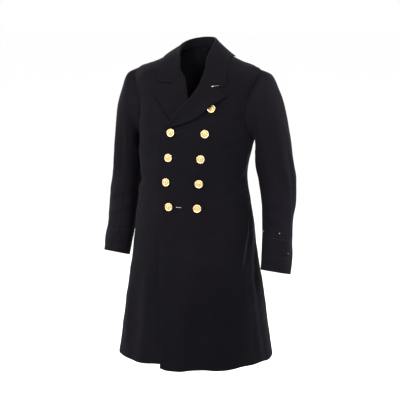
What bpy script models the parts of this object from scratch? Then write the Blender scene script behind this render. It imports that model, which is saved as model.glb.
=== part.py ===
"""Double-breasted sailor's frock coat in its worn, hanging form.

The coat is open at neck, cuffs and hem, and every piece is a sheet of heavy wool cloth with a real
wall.  The body pieces are cut from one smooth form that passes through the rings of BODY_RINGS.
An angle runs round the form from the centre front (0) over the wearer's left side (90) to the
centre back (180), and a level runs up it from the hem.  Each piece is a patch of the form between
two angles and two levels.  Each sleeve is a tube that starts at the armhole's own edge and passes
through the rings of its table.  The wearer faces -Y, the wearer's left is +X, and the origin lies
between the two points where the shoulder seams meet the neck.
"""

import math

import bpy
import numpy as np
from mathutils import Matrix, Vector
from mathutils.bvhtree import BVHTree

# Cloth and seams, in metres
CLOTH = 0.0024
SEAM_GAP = 0.0005
LAP_SHIFT = 0.00155
SKIRT_LAP_SHIFT = 0.0020
LAPEL_CLEARANCE = 0.0036
COLLAR_CLEARANCE = 0.0044
V_LIFT = 0.0052
V_LIFT_WIDTH = 0.075
V_BOTTOM_Z = -0.290
V_TOP_Z = -0.050
V_FADE = 0.048
LAP_EDGE_X = 0.150
LAP_FADE = 0.045
SKIRT_LAP_RUN = 0.12

# Levels up the body form from the hem
WAIST_LEVEL = 0.503
ARMPIT_LEVEL = 0.705
SHOULDER_LEVEL = 0.915
NECK_LEVEL = 1.050
VENT_LEVEL = 0.470
VENT_LAP_ABOVE = 0.115
VENT_LAP_RUN = 0.070
VENT_LAP_X = 0.075
VENT_LAP_FADE = 0.035
VENT_LAP_ANGLE = 6.5

# Armhole and seams round the body form, in degrees
ARMHOLE_HALF_ANGLE = 34.0
ARM_STEPS = 32
SIDE_FRONT_STEP = 12
SIDE_BACK_STEP = 20
FOREARM_STEP = 10
HINDARM_STEP = 22
SLEEVE_HEAD_EASE = 0.0010
HEM_LIFT = 0.017
NECK_FRONT_ANGLE = 42.0

# Gilt buttons
BUTTON_DIAMETER = 0.0240
BUTTON_DOME = 0.0016
BUTTON_RIM = 0.0012
BUTTON_BACK = 0.0016
SHANK_DIAMETER = 0.0060
SHANK_LENGTH = 0.0012
SEAT_GAP = 0.0003
SEAT_REACH = 0.03

BODY_COLUMNS = ("level", "centre_x", "half_width", "side_y", "front_y", "back_y",
                "front_z", "side_z", "back_z", "squareness")
BODY_RINGS = (
    (0.000, -0.003, 0.2460, -0.035, -0.195, 0.125, -0.976, -0.976, -0.976, 2.05),
    (0.080, -0.003, 0.2330, -0.035, -0.188, 0.118, -0.890, -0.890, -0.890, 2.05),
    (0.200, -0.003, 0.2160, -0.035, -0.180, 0.110, -0.770, -0.770, -0.770, 2.10),
    (0.330, -0.003, 0.1985, -0.035, -0.169, 0.104, -0.640, -0.640, -0.640, 2.10),
    (0.454, -0.004, 0.1870, -0.036, -0.160, 0.092, -0.516, -0.516, -0.516, 2.15),
    (0.503, -0.005, 0.1790, -0.037, -0.155, 0.082, -0.467, -0.467, -0.467, 2.20),
    (0.595, -0.005, 0.1670, -0.037, -0.150, 0.074, -0.375, -0.375, -0.375, 2.20),
    (0.670, -0.003, 0.1765, -0.028, -0.143, 0.082, -0.300, -0.300, -0.300, 2.30),
    (0.708, -0.001, 0.1800, -0.018, -0.138, 0.088, -0.262, -0.262, -0.262, 2.40),
    (0.790, 0.000, 0.1870, -0.010, -0.125, 0.090, -0.187, -0.180, -0.178, 2.70),
    (0.860, 0.000, 0.1925, -0.006, -0.106, 0.082, -0.126, -0.112, -0.108, 3.00),
    (0.893, 0.000, 0.1950, -0.005, -0.091, 0.073, -0.101, -0.080, -0.077, 3.10),
    (0.915, 0.000, 0.1880, -0.004, -0.080, 0.065, -0.084, -0.059, -0.057, 3.10),
    (0.980, 0.000, 0.1350, -0.004, -0.073, 0.056, -0.060, -0.034, -0.024, 2.60),
    (1.050, 0.000, 0.0690, -0.005, -0.066, 0.050, -0.045, -0.005, 0.006, 2.00),
)

# Long soft folds of the skirt: angle where each starts and ends, the level where it dies out at
# the top, its half width in degrees and how far it stands out (a trough where it is negative)
FOLD_COLUMNS = ("top_angle", "hem_angle", "top_level", "half_width", "height")
SKIRT_FOLDS = (
    (96.0, 57.0, 0.520, 6.5, 0.0075),
    (101.0, 82.0, 0.500, 7.5, -0.0085),
    (40.0, 34.0, 0.420, 10.0, -0.0050),
    (13.0, 4.0, 0.460, 11.0, 0.0045),
    (-52.0, -46.0, 0.460, 9.0, -0.0055),
    (-78.0, -72.0, 0.480, 10.0, 0.0065),
    (118.0, 108.0, 0.480, 10.0, 0.0075),
    (146.0, 132.0, 0.500, 8.0, -0.0080),
    (-112.0, -104.0, 0.480, 9.0, -0.0070),
    (-140.0, -128.0, 0.500, 9.0, 0.0080),
)

# Front edge and roll line of each forepart, x and z seen from the front, top to bottom
LEFT_EDGE = ((0.0465, -0.040), (0.0465, -0.056), (0.042, -0.075), (0.034, -0.110), (0.008, -0.147),
             (-0.012, -0.167), (-0.040, -0.205), (-0.054, -0.229), (-0.074, -0.268), (-0.083, -0.467))
RIGHT_EDGE = ((-0.0445, -0.040), (-0.0400, -0.056), (-0.028, -0.075), (-0.012, -0.110), (0.000, -0.148),
              (0.014, -0.175), (0.045, -0.225), (0.068, -0.265), (0.074, -0.300), (0.074, -0.467))
LEFT_SKIRT_EDGE_X = (-0.083, -0.066)
RIGHT_SKIRT_EDGE_X = (0.074, 0.060)

# Hem line: angle round the form and how far above the form's lowest ring the cloth ends there
LEFT_HEM = ((-15.0, 0.0060), (-9.5, 0.0020), (0.0, 0.0040), (11.0, 0.0095), (17.0, 0.0090), (29.0, 0.0020),
            (36.0, 0.0000), (52.0, 0.0060), (70.0, 0.0070), (85.0, 0.0015), (110.0, 0.0060), (180.0, 0.0060))
RIGHT_HEM = ((15.5, 0.0170), (21.0, 0.0145), (28.0, 0.0100), (45.0, 0.0062), (80.0, 0.0085), (180.0, 0.0060))
HEM_REACH = 0.12

# Lapels seen from the front: notch, tip and the free edge from the tip down
LEFT_NOTCH = (0.0740, -0.1040)
LEFT_LAPEL_EDGE = ((0.1215, -0.130), (0.0820, -0.158), (0.037, -0.194), (0.0050, -0.2095),
                   (-0.025, -0.2205), (-0.047, -0.2260))
LEFT_LAPEL_END_Z = -0.2185
RIGHT_NOTCH = (-0.0556, -0.0966)
RIGHT_LAPEL_EDGE = ((-0.1050, -0.134), (-0.0880, -0.153), (-0.072, -0.172), (-0.056, -0.191),
                    (-0.043, -0.207), (-0.034, -0.216))
RIGHT_LAPEL_END_Z = -0.164
LEFT_COLLAR_CORNER = (0.1115, -0.1050)
RIGHT_COLLAR_CORNER = (-0.1050, -0.0950)
ROLL_RADIUS = 0.0031
LAPEL_ROLL_TURNS = (0.0, 50.0, 90.0, 130.0, 170.0)
LEAF_SHARES = (0.10, 0.28, 0.5, 0.75, 1.0)
GORGE_SHARES = (0.2, 0.56, 1.0)
FREE_END_SHARES = (0.5, 1.0)
GORGE_REACH = 0.35
PRESSED_START = 0.45
PRESSED_RUN = 0.35
BUTTON_UNDER_LAPEL = 0.0080
BUTTON_SWELL = 0.030

# Collar from the centre back (0) to its front end (1): where it leaves the neck seam, its fold
# line in space, and where its outer edge lies on the body form
COLLAR_COLUMNS = ("share", "seam_angle", "fold_x", "fold_y", "fold_z", "edge_angle", "edge_level")
COLLAR_STATIONS = (
    (0.00, 180.0, 0.0000, 0.0530, 0.0370, 180.0, 0.985),
    (0.20, 150.0, 0.0275, 0.0460, 0.0350, 151.0, 0.988),
    (0.38, 120.0, 0.0465, 0.0240, 0.0295, 118.0, 1.000),
    (0.52, 90.0, 0.0540, -0.0060, 0.0210, 90.0, 1.012),
    (0.66, 66.0, 0.0515, -0.0320, 0.0050, 67.0, 1.006),
    (0.78, 48.0, 0.0465, -0.0510, -0.0110, 49.5, 0.986),
    (0.84, 42.0, 0.0432, -0.0580, -0.0195, 42.0, 0.969),
)
COLLAR_TILT = 0.08
NECK_CORNER_SHARE = 0.84
CORNER_WIDTH = 0.065
CORNER_EASE = 0.0012
CORNER_CLEARANCE = 0.0018
STAND_RISE = 0.0032
FALL_SPRING = 0.0090
FRONT_TURN_SHARE = 0.60
END_PULL_SHARE = 0.72
COLLAR_ROLL_TURNS = (35.0, 75.0, 110.0, 150.0)
FALL_SHARES = (0.18, 0.40, 0.62, 0.82, 1.0)
COLLAR_SHARES = (0.0, 0.11, 0.21, 0.30, 0.38, 0.45, 0.52, 0.59, 0.65, 0.70, 0.74, 0.78, 0.81, 0.84, 0.87,
                 0.90, 0.93, 0.965, 1.0)

# Sleeve rings: outer and inner point of each ring seen from the front, then its centre and half
# depth from front to back and how much higher its front is than its middle
SLEEVE_COLUMNS = ("outer_x", "outer_z", "inner_x", "inner_z", "centre_y", "half_depth", "front_rise")
LEFT_SLEEVE_RINGS = (
    (0.2265, -0.0680, 0.1865, -0.2665, -0.0135, 0.0665, 0.000),
    (0.2500, -0.1080, 0.1880, -0.2750, -0.0130, 0.0680, 0.000),
    (0.2730, -0.1720, 0.1885, -0.2890, -0.0110, 0.0680, 0.000),
    (0.2860, -0.2400, 0.1880, -0.3060, -0.0060, 0.0665, 0.000),
    (0.2990, -0.3300, 0.1870, -0.3380, 0.0000, 0.0640, -0.002),
    (0.3080, -0.3950, 0.1950, -0.4000, 0.0050, 0.0620, -0.001),
    (0.3095, -0.4500, 0.2040, -0.4520, 0.0010, 0.0590, 0.004),
    (0.3040, -0.5170, 0.2120, -0.5190, -0.0140, 0.0550, 0.010),
    (0.3060, -0.5650, 0.2160, -0.5620, -0.0280, 0.0520, 0.013),
    (0.3118, -0.6170, 0.2185, -0.6140, -0.0440, 0.0500, 0.014),
    (0.3105, -0.6710, 0.2200, -0.6640, -0.0610, 0.0480, 0.015),
)
RIGHT_SLEEVE_RINGS = (
    (-0.2230, -0.0720, -0.1865, -0.2665, -0.0135, 0.0665, 0.000),
    (-0.2400, -0.1080, -0.1880, -0.2750, -0.0130, 0.0680, 0.000),
    (-0.2590, -0.1720, -0.1885, -0.2890, -0.0110, 0.0680, 0.000),
    (-0.2680, -0.2400, -0.1880, -0.3060, -0.0060, 0.0665, 0.000),
    (-0.2805, -0.3300, -0.1870, -0.3380, 0.0000, 0.0640, -0.002),
    (-0.2890, -0.3950, -0.1930, -0.4000, 0.0050, 0.0620, -0.001),
    (-0.2970, -0.4520, -0.2000, -0.4520, 0.0010, 0.0590, 0.004),
    (-0.2955, -0.5150, -0.2080, -0.5170, -0.0140, 0.0550, 0.010),
    (-0.2940, -0.5600, -0.2120, -0.5620, -0.0280, 0.0520, 0.013),
    (-0.2955, -0.6030, -0.2155, -0.6060, -0.0440, 0.0500, 0.014),
    (-0.2960, -0.6400, -0.2200, -0.6480, -0.0590, 0.0480, 0.015),
)

# Button rows from the waist seam up: height, then the two columns' distances from the middle
BUTTON_COLUMNS = ("height", "left_x", "right_x")
BUTTON_ROWS = (
    (-0.4660, 0.0432, -0.0456),
    (-0.3916, 0.0470, -0.0559),
    (-0.3174, 0.0507, -0.0503),
    (-0.2425, 0.0609, -0.0438),
    (-0.1675, 0.0762, None),
)


def clear_scene():
    """Remove what the file holds before the coat is built."""
    for thing in list(bpy.data.objects):
        bpy.data.objects.remove(thing, do_unlink=True)


def table_column(table, names, name):
    """One named column of a table as an array."""
    return np.array([row[names.index(name)] for row in table], float)


def smooth(knots, values, at):
    """Monotone cubic curve through values at rising knots, held level beyond the ends."""
    knots = np.asarray(knots, float)
    values = np.asarray(values, float)
    at = np.clip(np.asarray(at, float), knots[0], knots[-1])
    step = np.diff(knots)
    rise = np.diff(values) / step
    slope = np.zeros_like(values)
    same_way = rise[:-1] * rise[1:] > 0
    before = 2 * step[1:] + step[:-1]
    after = step[1:] + 2 * step[:-1]
    with np.errstate(divide="ignore", invalid="ignore"):
        mean = (before + after) / (before / rise[:-1] + after / rise[1:])
    slope[1:-1] = np.where(same_way, mean, 0.0)
    slope[0] = rise[0]
    slope[-1] = rise[-1]
    i = np.clip(np.searchsorted(knots, at, side="right") - 1, 0, len(step) - 1)
    t = (at - knots[i]) / step[i]
    return ((2 * t**3 - 3 * t**2 + 1) * values[i] + (t**3 - 2 * t**2 + t) * step[i] * slope[i]
            + (3 * t**2 - 2 * t**3) * values[i + 1] + (t**3 - t**2) * step[i] * slope[i + 1])


def fade(value):
    """Soft step from 0 to 1."""
    value = np.clip(value, 0.0, 1.0)
    return value * value * (3 - 2 * value)


def unit(vectors):
    """Vectors brought to length one."""
    return vectors / np.maximum(np.linalg.norm(vectors, axis=-1, keepdims=True), 1e-12)


BODY_LEVELS = table_column(BODY_RINGS, BODY_COLUMNS, "level")


def body_value(name, level):
    """A column of the body table at any level."""
    return smooth(BODY_LEVELS, table_column(BODY_RINGS, BODY_COLUMNS, name), level)


def ring_shares(angle, squareness):
    """Share of the half width and of the depth at an angle of a squared ring."""
    turn = np.radians(angle)
    size = (np.abs(np.sin(turn))**squareness + np.abs(np.cos(turn))**squareness)**(-1 / squareness)
    return np.sin(turn) * size, np.cos(turn) * size


def fold_height(angle, level):
    """How far the skirt's folds stand out of the plain form."""
    turned = (angle + 180.0) % 360.0 - 180.0
    total = np.zeros(np.broadcast(angle, level).shape)
    for top_angle, hem_angle, top_level, half_width, height in SKIRT_FOLDS:
        down = np.clip(1 - level / top_level, 0.0, 1.0)
        middle = top_angle + (hem_angle - top_angle) * fade(down * 2)
        total = total + height * fade(down * 1.6) * np.exp(-((turned - middle) / half_width)**2)
    return total


def body_point(angle, level):
    """Points of the coat's body form."""
    angle, level = np.broadcast_arrays(np.asarray(angle, float), np.asarray(level, float))
    across, ahead = ring_shares(angle, body_value("squareness", level))
    side_y = body_value("side_y", level)
    side_z = body_value("side_z", level)
    is_front = ahead > 0
    depth = np.where(is_front, side_y - body_value("front_y", level), body_value("back_y", level) - side_y)
    drop = np.where(is_front, body_value("front_z", level), body_value("back_z", level)) - side_z
    out = np.stack([body_value("half_width", level) * across, -depth * ahead], axis=-1)
    out = out + unit(out) * fold_height(angle, level)[..., None]
    lift = HEM_LIFT * fade(out[..., 0] / 0.23) * fade(1 - level / 0.45)
    return np.stack([body_value("centre_x", level) + out[..., 0], side_y + out[..., 1],
                     side_z + drop * np.cos(np.radians(angle))**2 + lift], axis=-1)


def body_normal(angle, level):
    """Outward direction of the body form."""
    level = np.clip(level, 0.001, NECK_LEVEL - 0.001)
    round_it = body_point(angle + 0.4, level) - body_point(angle - 0.4, level)
    up_it = body_point(angle, level + 0.001) - body_point(angle, level - 0.001)
    return unit(np.cross(round_it, up_it))


def angle_at_x(x, level):
    """Angle on the front where a level's ring has the given x."""
    share = np.clip(np.abs(x - body_value("centre_x", level)) / body_value("half_width", level), 0, 0.999)
    squareness = body_value("squareness", level)
    ahead = (1 - share**squareness)**(1 / squareness)
    return np.degrees(np.arctan2(share, ahead)) * np.sign(x - body_value("centre_x", level))


def from_front(x, z):
    """Angle and level of the front of the form behind points x, z seen from the front."""
    x = np.asarray(x, float)
    z = np.asarray(z, float)
    level = np.clip(z + 0.97, 0.0, NECK_LEVEL)
    for _ in range(80):
        angle = angle_at_x(x, level)
        level = np.clip(level + z - body_point(angle, level)[..., 2], 0.0, NECK_LEVEL)
    return angle_at_x(x, level), level


def edge_angles(edge, side, level):
    """Angle of a forepart's front edge at each level, up to the neck."""
    points = np.array(edge)[::-1]
    angle, height = from_front(points[:, 0], points[:, 1])
    height[0] = WAIST_LEVEL
    angle = np.append(angle, side * NECK_FRONT_ANGLE)
    height = np.append(height, NECK_LEVEL)
    return smooth(height, angle, level)


def front_shift(side, angle, level):
    """How far a front piece lies out of the form where the two fronts lap over each other."""
    point = body_point(angle, level)
    ahead = np.cos(np.radians(angle)) > 0
    lap = LAP_SHIFT + (SKIRT_LAP_SHIFT - LAP_SHIFT) * fade((WAIST_LEVEL - level) / SKIRT_LAP_RUN)
    if side > 0:
        shift = lap * fade((LAP_EDGE_X - point[..., 0]) / LAP_FADE)
        if np.any(level > WAIST_LEVEL):
            from_edge = point[..., 0] - body_point(edge_angles(LEFT_EDGE, 1.0, level), level)[..., 0]
            in_v = fade((point[..., 2] - V_BOTTOM_Z) / V_FADE) * fade((V_TOP_Z - point[..., 2]) / V_FADE)
            shift = shift + V_LIFT * (1 - fade(from_edge / V_LIFT_WIDTH)) * in_v
    else:
        shift = -lap * fade((LAP_EDGE_X + point[..., 0]) / LAP_FADE)
    return shift * ahead


def vent_shift(side, angle, level):
    """How far a back piece lies out of the form where the left half laps over the right."""
    from_middle = np.abs(body_point(angle, level)[..., 0])
    over_vent = fade((VENT_LEVEL + VENT_LAP_ABOVE - level) / VENT_LAP_RUN)
    lap = fade((VENT_LAP_X - from_middle) / VENT_LAP_FADE) * over_vent
    return side * LAP_SHIFT * lap


def hem_levels(side, angle, level):
    """Levels of a piece's rows, raised near the hem to follow the hem line."""
    table = np.array(LEFT_HEM if side > 0 else RIGHT_HEM)
    line = smooth(table[:, 0], table[:, 1], angle * side)
    return level + line * fade(1 - level / HEM_REACH)


def armhole_ring(step):
    """Angle and level of the armhole's edge at a step round it, from the shoulder forwards."""
    turn = 2 * math.pi * np.asarray(step, float) / ARM_STEPS
    middle = (ARMPIT_LEVEL + SHOULDER_LEVEL) / 2
    half = (SHOULDER_LEVEL - ARMPIT_LEVEL) / 2
    return 90.0 - ARMHOLE_HALF_ANGLE * np.sin(turn), middle + half * np.cos(turn)


def armhole_edge(side, step):
    """Armhole's edge in space with its outward direction and its direction into the hole."""
    angle, level = armhole_ring(step)
    place = body_point(side * angle, level)
    out = body_normal(side * angle, level)
    ahead_angle, ahead_level = armhole_ring(np.asarray(step) + 0.2)
    back_angle, back_level = armhole_ring(np.asarray(step) - 0.2)
    along = body_point(side * ahead_angle, ahead_level) - body_point(side * back_angle, back_level)
    return place, out, unit(np.cross(out, unit(along))) * side


def inset(points, edges, distance):
    """Draw the named edges of a grid of points in, square to the edge."""
    points = points.copy()
    for edge in edges:
        view = {"low": points, "high": points[::-1], "start": points.swapaxes(0, 1),
                "end": points.swapaxes(0, 1)[::-1]}[edge]
        along = unit(np.gradient(view[0], axis=0))
        inward = view[1] - view[0]
        inward = inward - along * np.sum(inward * along, axis=-1, keepdims=True)
        view[0] += unit(inward) * distance
    return points


def parts_collection():
    """The collection that holds the coat's pieces."""
    found = bpy.data.collections.get("sailor_coat")
    if found is None:
        found = bpy.data.collections.new("sailor_coat")
        bpy.context.scene.collection.children.link(found)
    return found


def cloth_material(name, colour, roughness, metallic):
    """A plain material for one kind of piece."""
    found = bpy.data.materials.new(name)
    found.use_nodes = True
    shader = found.node_tree.nodes["Principled BSDF"]
    shader.inputs["Base Color"].default_value = (*colour, 1.0)
    shader.inputs["Roughness"].default_value = roughness
    shader.inputs["Metallic"].default_value = metallic
    return found


def sheet_piece(name, points, material, turned_over=False):
    """Loft a grid of points into an open sheet and give it the cloth's wall."""
    rows, columns = points.shape[:2]
    index = np.arange(rows * columns).reshape(rows, columns)
    corners = np.stack([index[:-1, :-1], index[:-1, 1:], index[1:, 1:], index[1:, :-1]], axis=-1)
    faces = corners.reshape(-1, 4)
    if turned_over:
        faces = faces[:, ::-1]
    mesh = bpy.data.meshes.new(name)
    mesh.from_pydata(points.reshape(-1, 3).tolist(), [], faces.tolist())
    mesh.shade_smooth()
    mesh.materials.append(material)
    piece = bpy.data.objects.new(name, mesh)
    parts_collection().objects.link(piece)
    wall = piece.modifiers.new("cloth", "SOLIDIFY")
    wall.thickness = CLOTH
    wall.offset = 0.0
    wall.use_even_offset = False
    return piece


def levels_up_armhole():
    """Levels of a body piece's rows from the waist seam over the armhole to the neck."""
    low = np.linspace(WAIST_LEVEL, armhole_ring(SIDE_FRONT_STEP)[1], 6)[:-1]
    arm = armhole_ring(np.arange(SIDE_FRONT_STEP, -1, -1))[1]
    top = np.linspace(SHOULDER_LEVEL, NECK_LEVEL, 7)[1:]
    return low, arm, top


def forepart(side, material):
    """Front of the coat from its front edge to the side seam, armhole and shoulder seam."""
    low, arm, top = levels_up_armhole()
    level = np.concatenate([low, arm, top])
    seam = armhole_ring(SIDE_FRONT_STEP)[0]
    hole = armhole_ring(np.arange(SIDE_FRONT_STEP, -1, -1))[0]
    outer = side * np.concatenate([np.full(len(low), seam), hole, np.full(len(top), 90.0)])
    front = edge_angles(LEFT_EDGE if side > 0 else RIGHT_EDGE, side, level)
    share = np.linspace(0, 1, 11)
    angle = front[:, None] + (outer - front)[:, None] * share
    rows = np.repeat(level[:, None], len(share), axis=1)
    points = body_point(angle, rows) + body_normal(angle, rows) * front_shift(side, angle, rows)[..., None]
    points = inset(points, ("low", "high", "start", "end"), SEAM_GAP / 2)
    points = clear_armhole(side, points, len(low), np.arange(SIDE_FRONT_STEP, -1, -1))
    return sheet_piece("left_forepart" if side > 0 else "right_forepart", points, material, side < 0)


def clear_armhole(side, points, first, step):
    """Set the last column's points beside the armhole half a seam gap back from its edge."""
    place, out, inward = armhole_edge(side, step)
    points[first:first + len(step), -1] = place - inward * SEAM_GAP / 2
    if first > 0:
        points[first, -1] += unit(points[first - 1, -2] - points[first - 1, -1]) * SEAM_GAP / 2
    corner = first + len(step) - 1
    points[corner, -1] += unit(points[corner + 1, -2] - points[corner + 1, -1]) * SEAM_GAP / 2
    return points


def sidebody(side, material):
    """Side piece under the arm, between forepart and back."""
    step = np.arange(SIDE_FRONT_STEP, SIDE_BACK_STEP + 1)
    hole_angle, hole_level = armhole_ring(step)
    share = np.linspace(0, 1, 6)
    level = WAIST_LEVEL + (hole_level - WAIST_LEVEL) * share[:, None]
    first = hole_angle[0]
    last = back_seam(level[:, -1])
    along = (hole_angle - first) / (hole_angle[-1] - first)
    angle = side * (first + (last[:, None] - first) * along)
    points = body_point(angle, level)
    points = inset(points, ("low", "start", "end"), SEAM_GAP / 2)
    points[-1] -= armhole_edge(side, step)[2] * SEAM_GAP / 2
    return sheet_piece("left_sidebody" if side > 0 else "right_sidebody", points, material, side < 0)


def back_seam(level):
    """Angle of the seam between back and side, from the hem up to the armhole."""
    hole_angle, hole_level = armhole_ring(SIDE_BACK_STEP)
    return smooth((0.0, 0.25, WAIST_LEVEL, 0.60, 0.68, hole_level),
                  (155.0, 157.0, 160.0, 156.0, 137.0, hole_angle), level)


def back(side, material):
    """Half of the back, in one length from the neck to the hem, with the vent below the waist."""
    low, arm, top = levels_up_armhole()
    skirt = np.linspace(0.0, WAIST_LEVEL, 13)[:-1]
    level = np.concatenate([skirt, low, arm, top])
    hole = armhole_ring(np.arange(SIDE_BACK_STEP, ARM_STEPS + 1))[0]
    outer = np.concatenate([back_seam(np.concatenate([skirt, low])), hole, np.full(len(top), 90.0)])
    lap = VENT_LAP_ANGLE * fade((VENT_LEVEL - level) / VENT_LAP_FADE)
    middle = 180.0 + lap
    share = np.linspace(0, 1, 6)
    angle = outer[:, None] + (middle - outer)[:, None] * share
    rows = np.repeat(level[:, None], len(share), axis=1)
    rows = hem_levels(side, side * angle, rows)
    angle = side * angle
    points = body_point(angle, rows) + body_normal(angle, rows) * vent_shift(side, angle, rows)[..., None]
    points = inset(points, ("high", "start", "end"), SEAM_GAP / 2)
    below_arm = len(skirt) + len(low)
    mirrored = clear_armhole(side, points[:, ::-1], below_arm, np.arange(SIDE_BACK_STEP, ARM_STEPS + 1))
    return sheet_piece("left_back" if side > 0 else "right_back", mirrored[:, ::-1], material, side < 0)


def skirt(side, material):
    """Skirt from the front edge round to the back, sewn to the waist seam."""
    level = np.linspace(0.0, WAIST_LEVEL, 13)
    edge = LEFT_SKIRT_EDGE_X if side > 0 else RIGHT_SKIRT_EDGE_X
    front_x = smooth((0.0, WAIST_LEVEL), edge[::-1], level)
    front = angle_at_x(front_x, level)
    outer = side * back_seam(level)
    share = np.linspace(0, 1, 19)
    angle = front[:, None] + (outer - front)[:, None] * share
    rows = hem_levels(side, angle, np.repeat(level[:, None], len(share), axis=1))
    points = body_point(angle, rows) + body_normal(angle, rows) * front_shift(side, angle, rows)[..., None]
    points = inset(points, ("high", "end"), SEAM_GAP / 2)
    return sheet_piece("left_skirt" if side > 0 else "right_skirt", points, material, side < 0)


def sleeve_rings(side, table):
    """Rings of points down a sleeve, the first two at the armhole's own edge."""
    step = np.arange(ARM_STEPS + 1)
    hole, out, inward = armhole_edge(side, step)
    head = np.maximum(np.cos(2 * math.pi * step / ARM_STEPS), 0.0)[:, None]**3
    seated = hole + inward * (CLOTH / 2 + SEAM_GAP / 2 + SLEEVE_HEAD_EASE * head)
    rings = [seated - out * CLOTH / 2, seated + out * CLOTH * 0.9]
    turn = 2 * math.pi * step / ARM_STEPS
    for outer_x, outer_z, inner_x, inner_z, centre_y, half_depth, front_rise in table:
        middle = np.array([(outer_x + inner_x) / 2, centre_y, (outer_z + inner_z) / 2])
        arm = np.array([(outer_x - inner_x) / 2, 0.0, (outer_z - inner_z) / 2])
        ahead = np.array([0.0, -half_depth, front_rise])
        rings.append(middle + np.cos(turn)[:, None] * arm + np.sin(turn)[:, None] * ahead)
    return np.array(rings)


def sleeve_points(side, table, stations):
    """Smooth sleeve surface at shares of its length."""
    rings = sleeve_rings(side, table)
    length = np.linalg.norm(np.diff(rings, axis=0), axis=-1).mean(axis=1)
    knots = np.concatenate([[0.0], np.cumsum(length)])
    at = smooth(np.arange(len(knots)), knots, stations)
    flat = rings.reshape(len(knots), -1)
    columns = [smooth(knots, flat[:, k], at) for k in range(flat.shape[1])]
    return np.stack(columns, axis=1).reshape(len(at), ARM_STEPS + 1, 3)


def sleeves(side, material):
    """Top sleeve and under sleeve of one arm."""
    table = LEFT_SLEEVE_RINGS if side > 0 else RIGHT_SLEEVE_RINGS
    stations = np.array([0.0, 1.0, 1.5, 2.0, 2.6, 3.3, 4.0, 5.0, 6.0, 7.0, 8.0, 9.0, 10.5, 12.0])
    points = sleeve_points(side, table, stations)
    word = "left" if side > 0 else "right"
    over = np.concatenate([points[:, HINDARM_STEP:-1], points[:, :FOREARM_STEP + 1]], axis=1)
    under = points[:, FOREARM_STEP:HINDARM_STEP + 1]
    sheet_piece(word + "_top_sleeve", inset(over, ("start", "end"), SEAM_GAP / 2), material, side > 0)
    sheet_piece(word + "_under_sleeve", inset(under, ("start", "end"), SEAM_GAP / 2), material, side > 0)


def roll_line(side, share):
    """Angle and level of the roll line, which is the forepart's own edge, from the gorge down."""
    edge = np.array(LEFT_EDGE if side > 0 else RIGHT_EDGE)
    last_z = LEFT_LAPEL_END_Z if side > 0 else RIGHT_LAPEL_END_Z
    fine_z = np.linspace(edge[1, 1], last_z, 60)
    low, high = np.full(60, WAIST_LEVEL), np.full(60, NECK_LEVEL)
    for _ in range(40):
        middle = (low + high) / 2
        above = body_point(edge_angles(edge, side, middle), middle)[:, 2] > fine_z
        low, high = np.where(above, low, middle), np.where(above, middle, high)
    levels = (low + high) / 2
    places = body_point(edge_angles(edge, side, levels), levels)
    length = np.concatenate([[0.0], np.cumsum(np.linalg.norm(np.diff(places, axis=0), axis=1))])
    level = np.interp(np.asarray(share) * length[-1], length, levels)
    return edge_angles(edge, side, level), level


def nearest_on_body(points, angle, level):
    """Angle and level of the body form's point nearest to each of the given points."""
    angle = np.array(angle, float)
    level = np.array(level, float)
    for _ in range(8):
        round_it = (body_point(angle + 0.2, level) - body_point(angle - 0.2, level)) / 0.4
        up_it = (body_point(angle, level + 0.0005) - body_point(angle, level - 0.0005)) / 0.001
        away = points - body_point(angle, level)
        rr = np.sum(round_it * round_it, axis=-1)
        uu = np.sum(up_it * up_it, axis=-1)
        ru = np.sum(round_it * up_it, axis=-1)
        ra = np.sum(round_it * away, axis=-1)
        ua = np.sum(up_it * away, axis=-1)
        whole = np.maximum(rr * uu - ru * ru, 1e-12)
        angle = angle + np.clip((ra * uu - ua * ru) / whole, -6.0, 6.0)
        level = np.clip(level + np.clip((ua * rr - ra * ru) / whole, -0.02, 0.02), 0.0, NECK_LEVEL - 0.0006)
    return angle, level


def front_frame(side, angle, level):
    """Point, outward normal and off-the-edge direction at places on a forepart's roll line."""
    edge = np.array(LEFT_EDGE if side > 0 else RIGHT_EDGE)
    angle = np.asarray(angle, float)
    level = np.asarray(level, float)
    normal = body_normal(angle, level)
    point = body_point(angle, level) + normal * front_shift(side, angle, level)[..., None]
    high = np.minimum(level + 0.002, NECK_LEVEL - 0.001)
    low = high - 0.004
    along = body_point(edge_angles(edge, side, high), high) - body_point(edge_angles(edge, side, low), low)
    off = unit(np.cross(normal, along))
    inward = body_point(angle + side, level) - body_point(angle, level)
    off = off * -np.sign(np.sum(off * inward, axis=-1, keepdims=True))
    return point, normal, off


def on_front(side, places, height):
    """Points over a forepart at places seen from the front, raised by a height."""
    angle, level = from_front(places[..., 0], places[..., 1])
    lifted = front_shift(side, angle, level) + height
    return body_point(angle, level) + body_normal(angle, level) * lifted[..., None]


def gorge_line(side, end):
    """Seam of collar and lapel out to the notch, then a leaf's free edge on to its end."""
    start = body_point(*roll_line(side, 0.0))[[0, 2]]
    notch = np.array(LEFT_NOTCH if side > 0 else RIGHT_NOTCH)
    seam = start + (notch - start) * np.array(GORGE_SHARES)[:, None]
    free = notch + (end - notch) * np.array(FREE_END_SHARES)[:, None]
    return np.concatenate([seam, free])


def leaf_height(share, radius=ROLL_RADIUS):
    """Height of a turned-back leaf over the forepart, from the roll line to its free edge."""
    return LAPEL_CLEARANCE + (2 * radius - LAPEL_CLEARANCE) * (1 - fade(share * 2.2))


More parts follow.
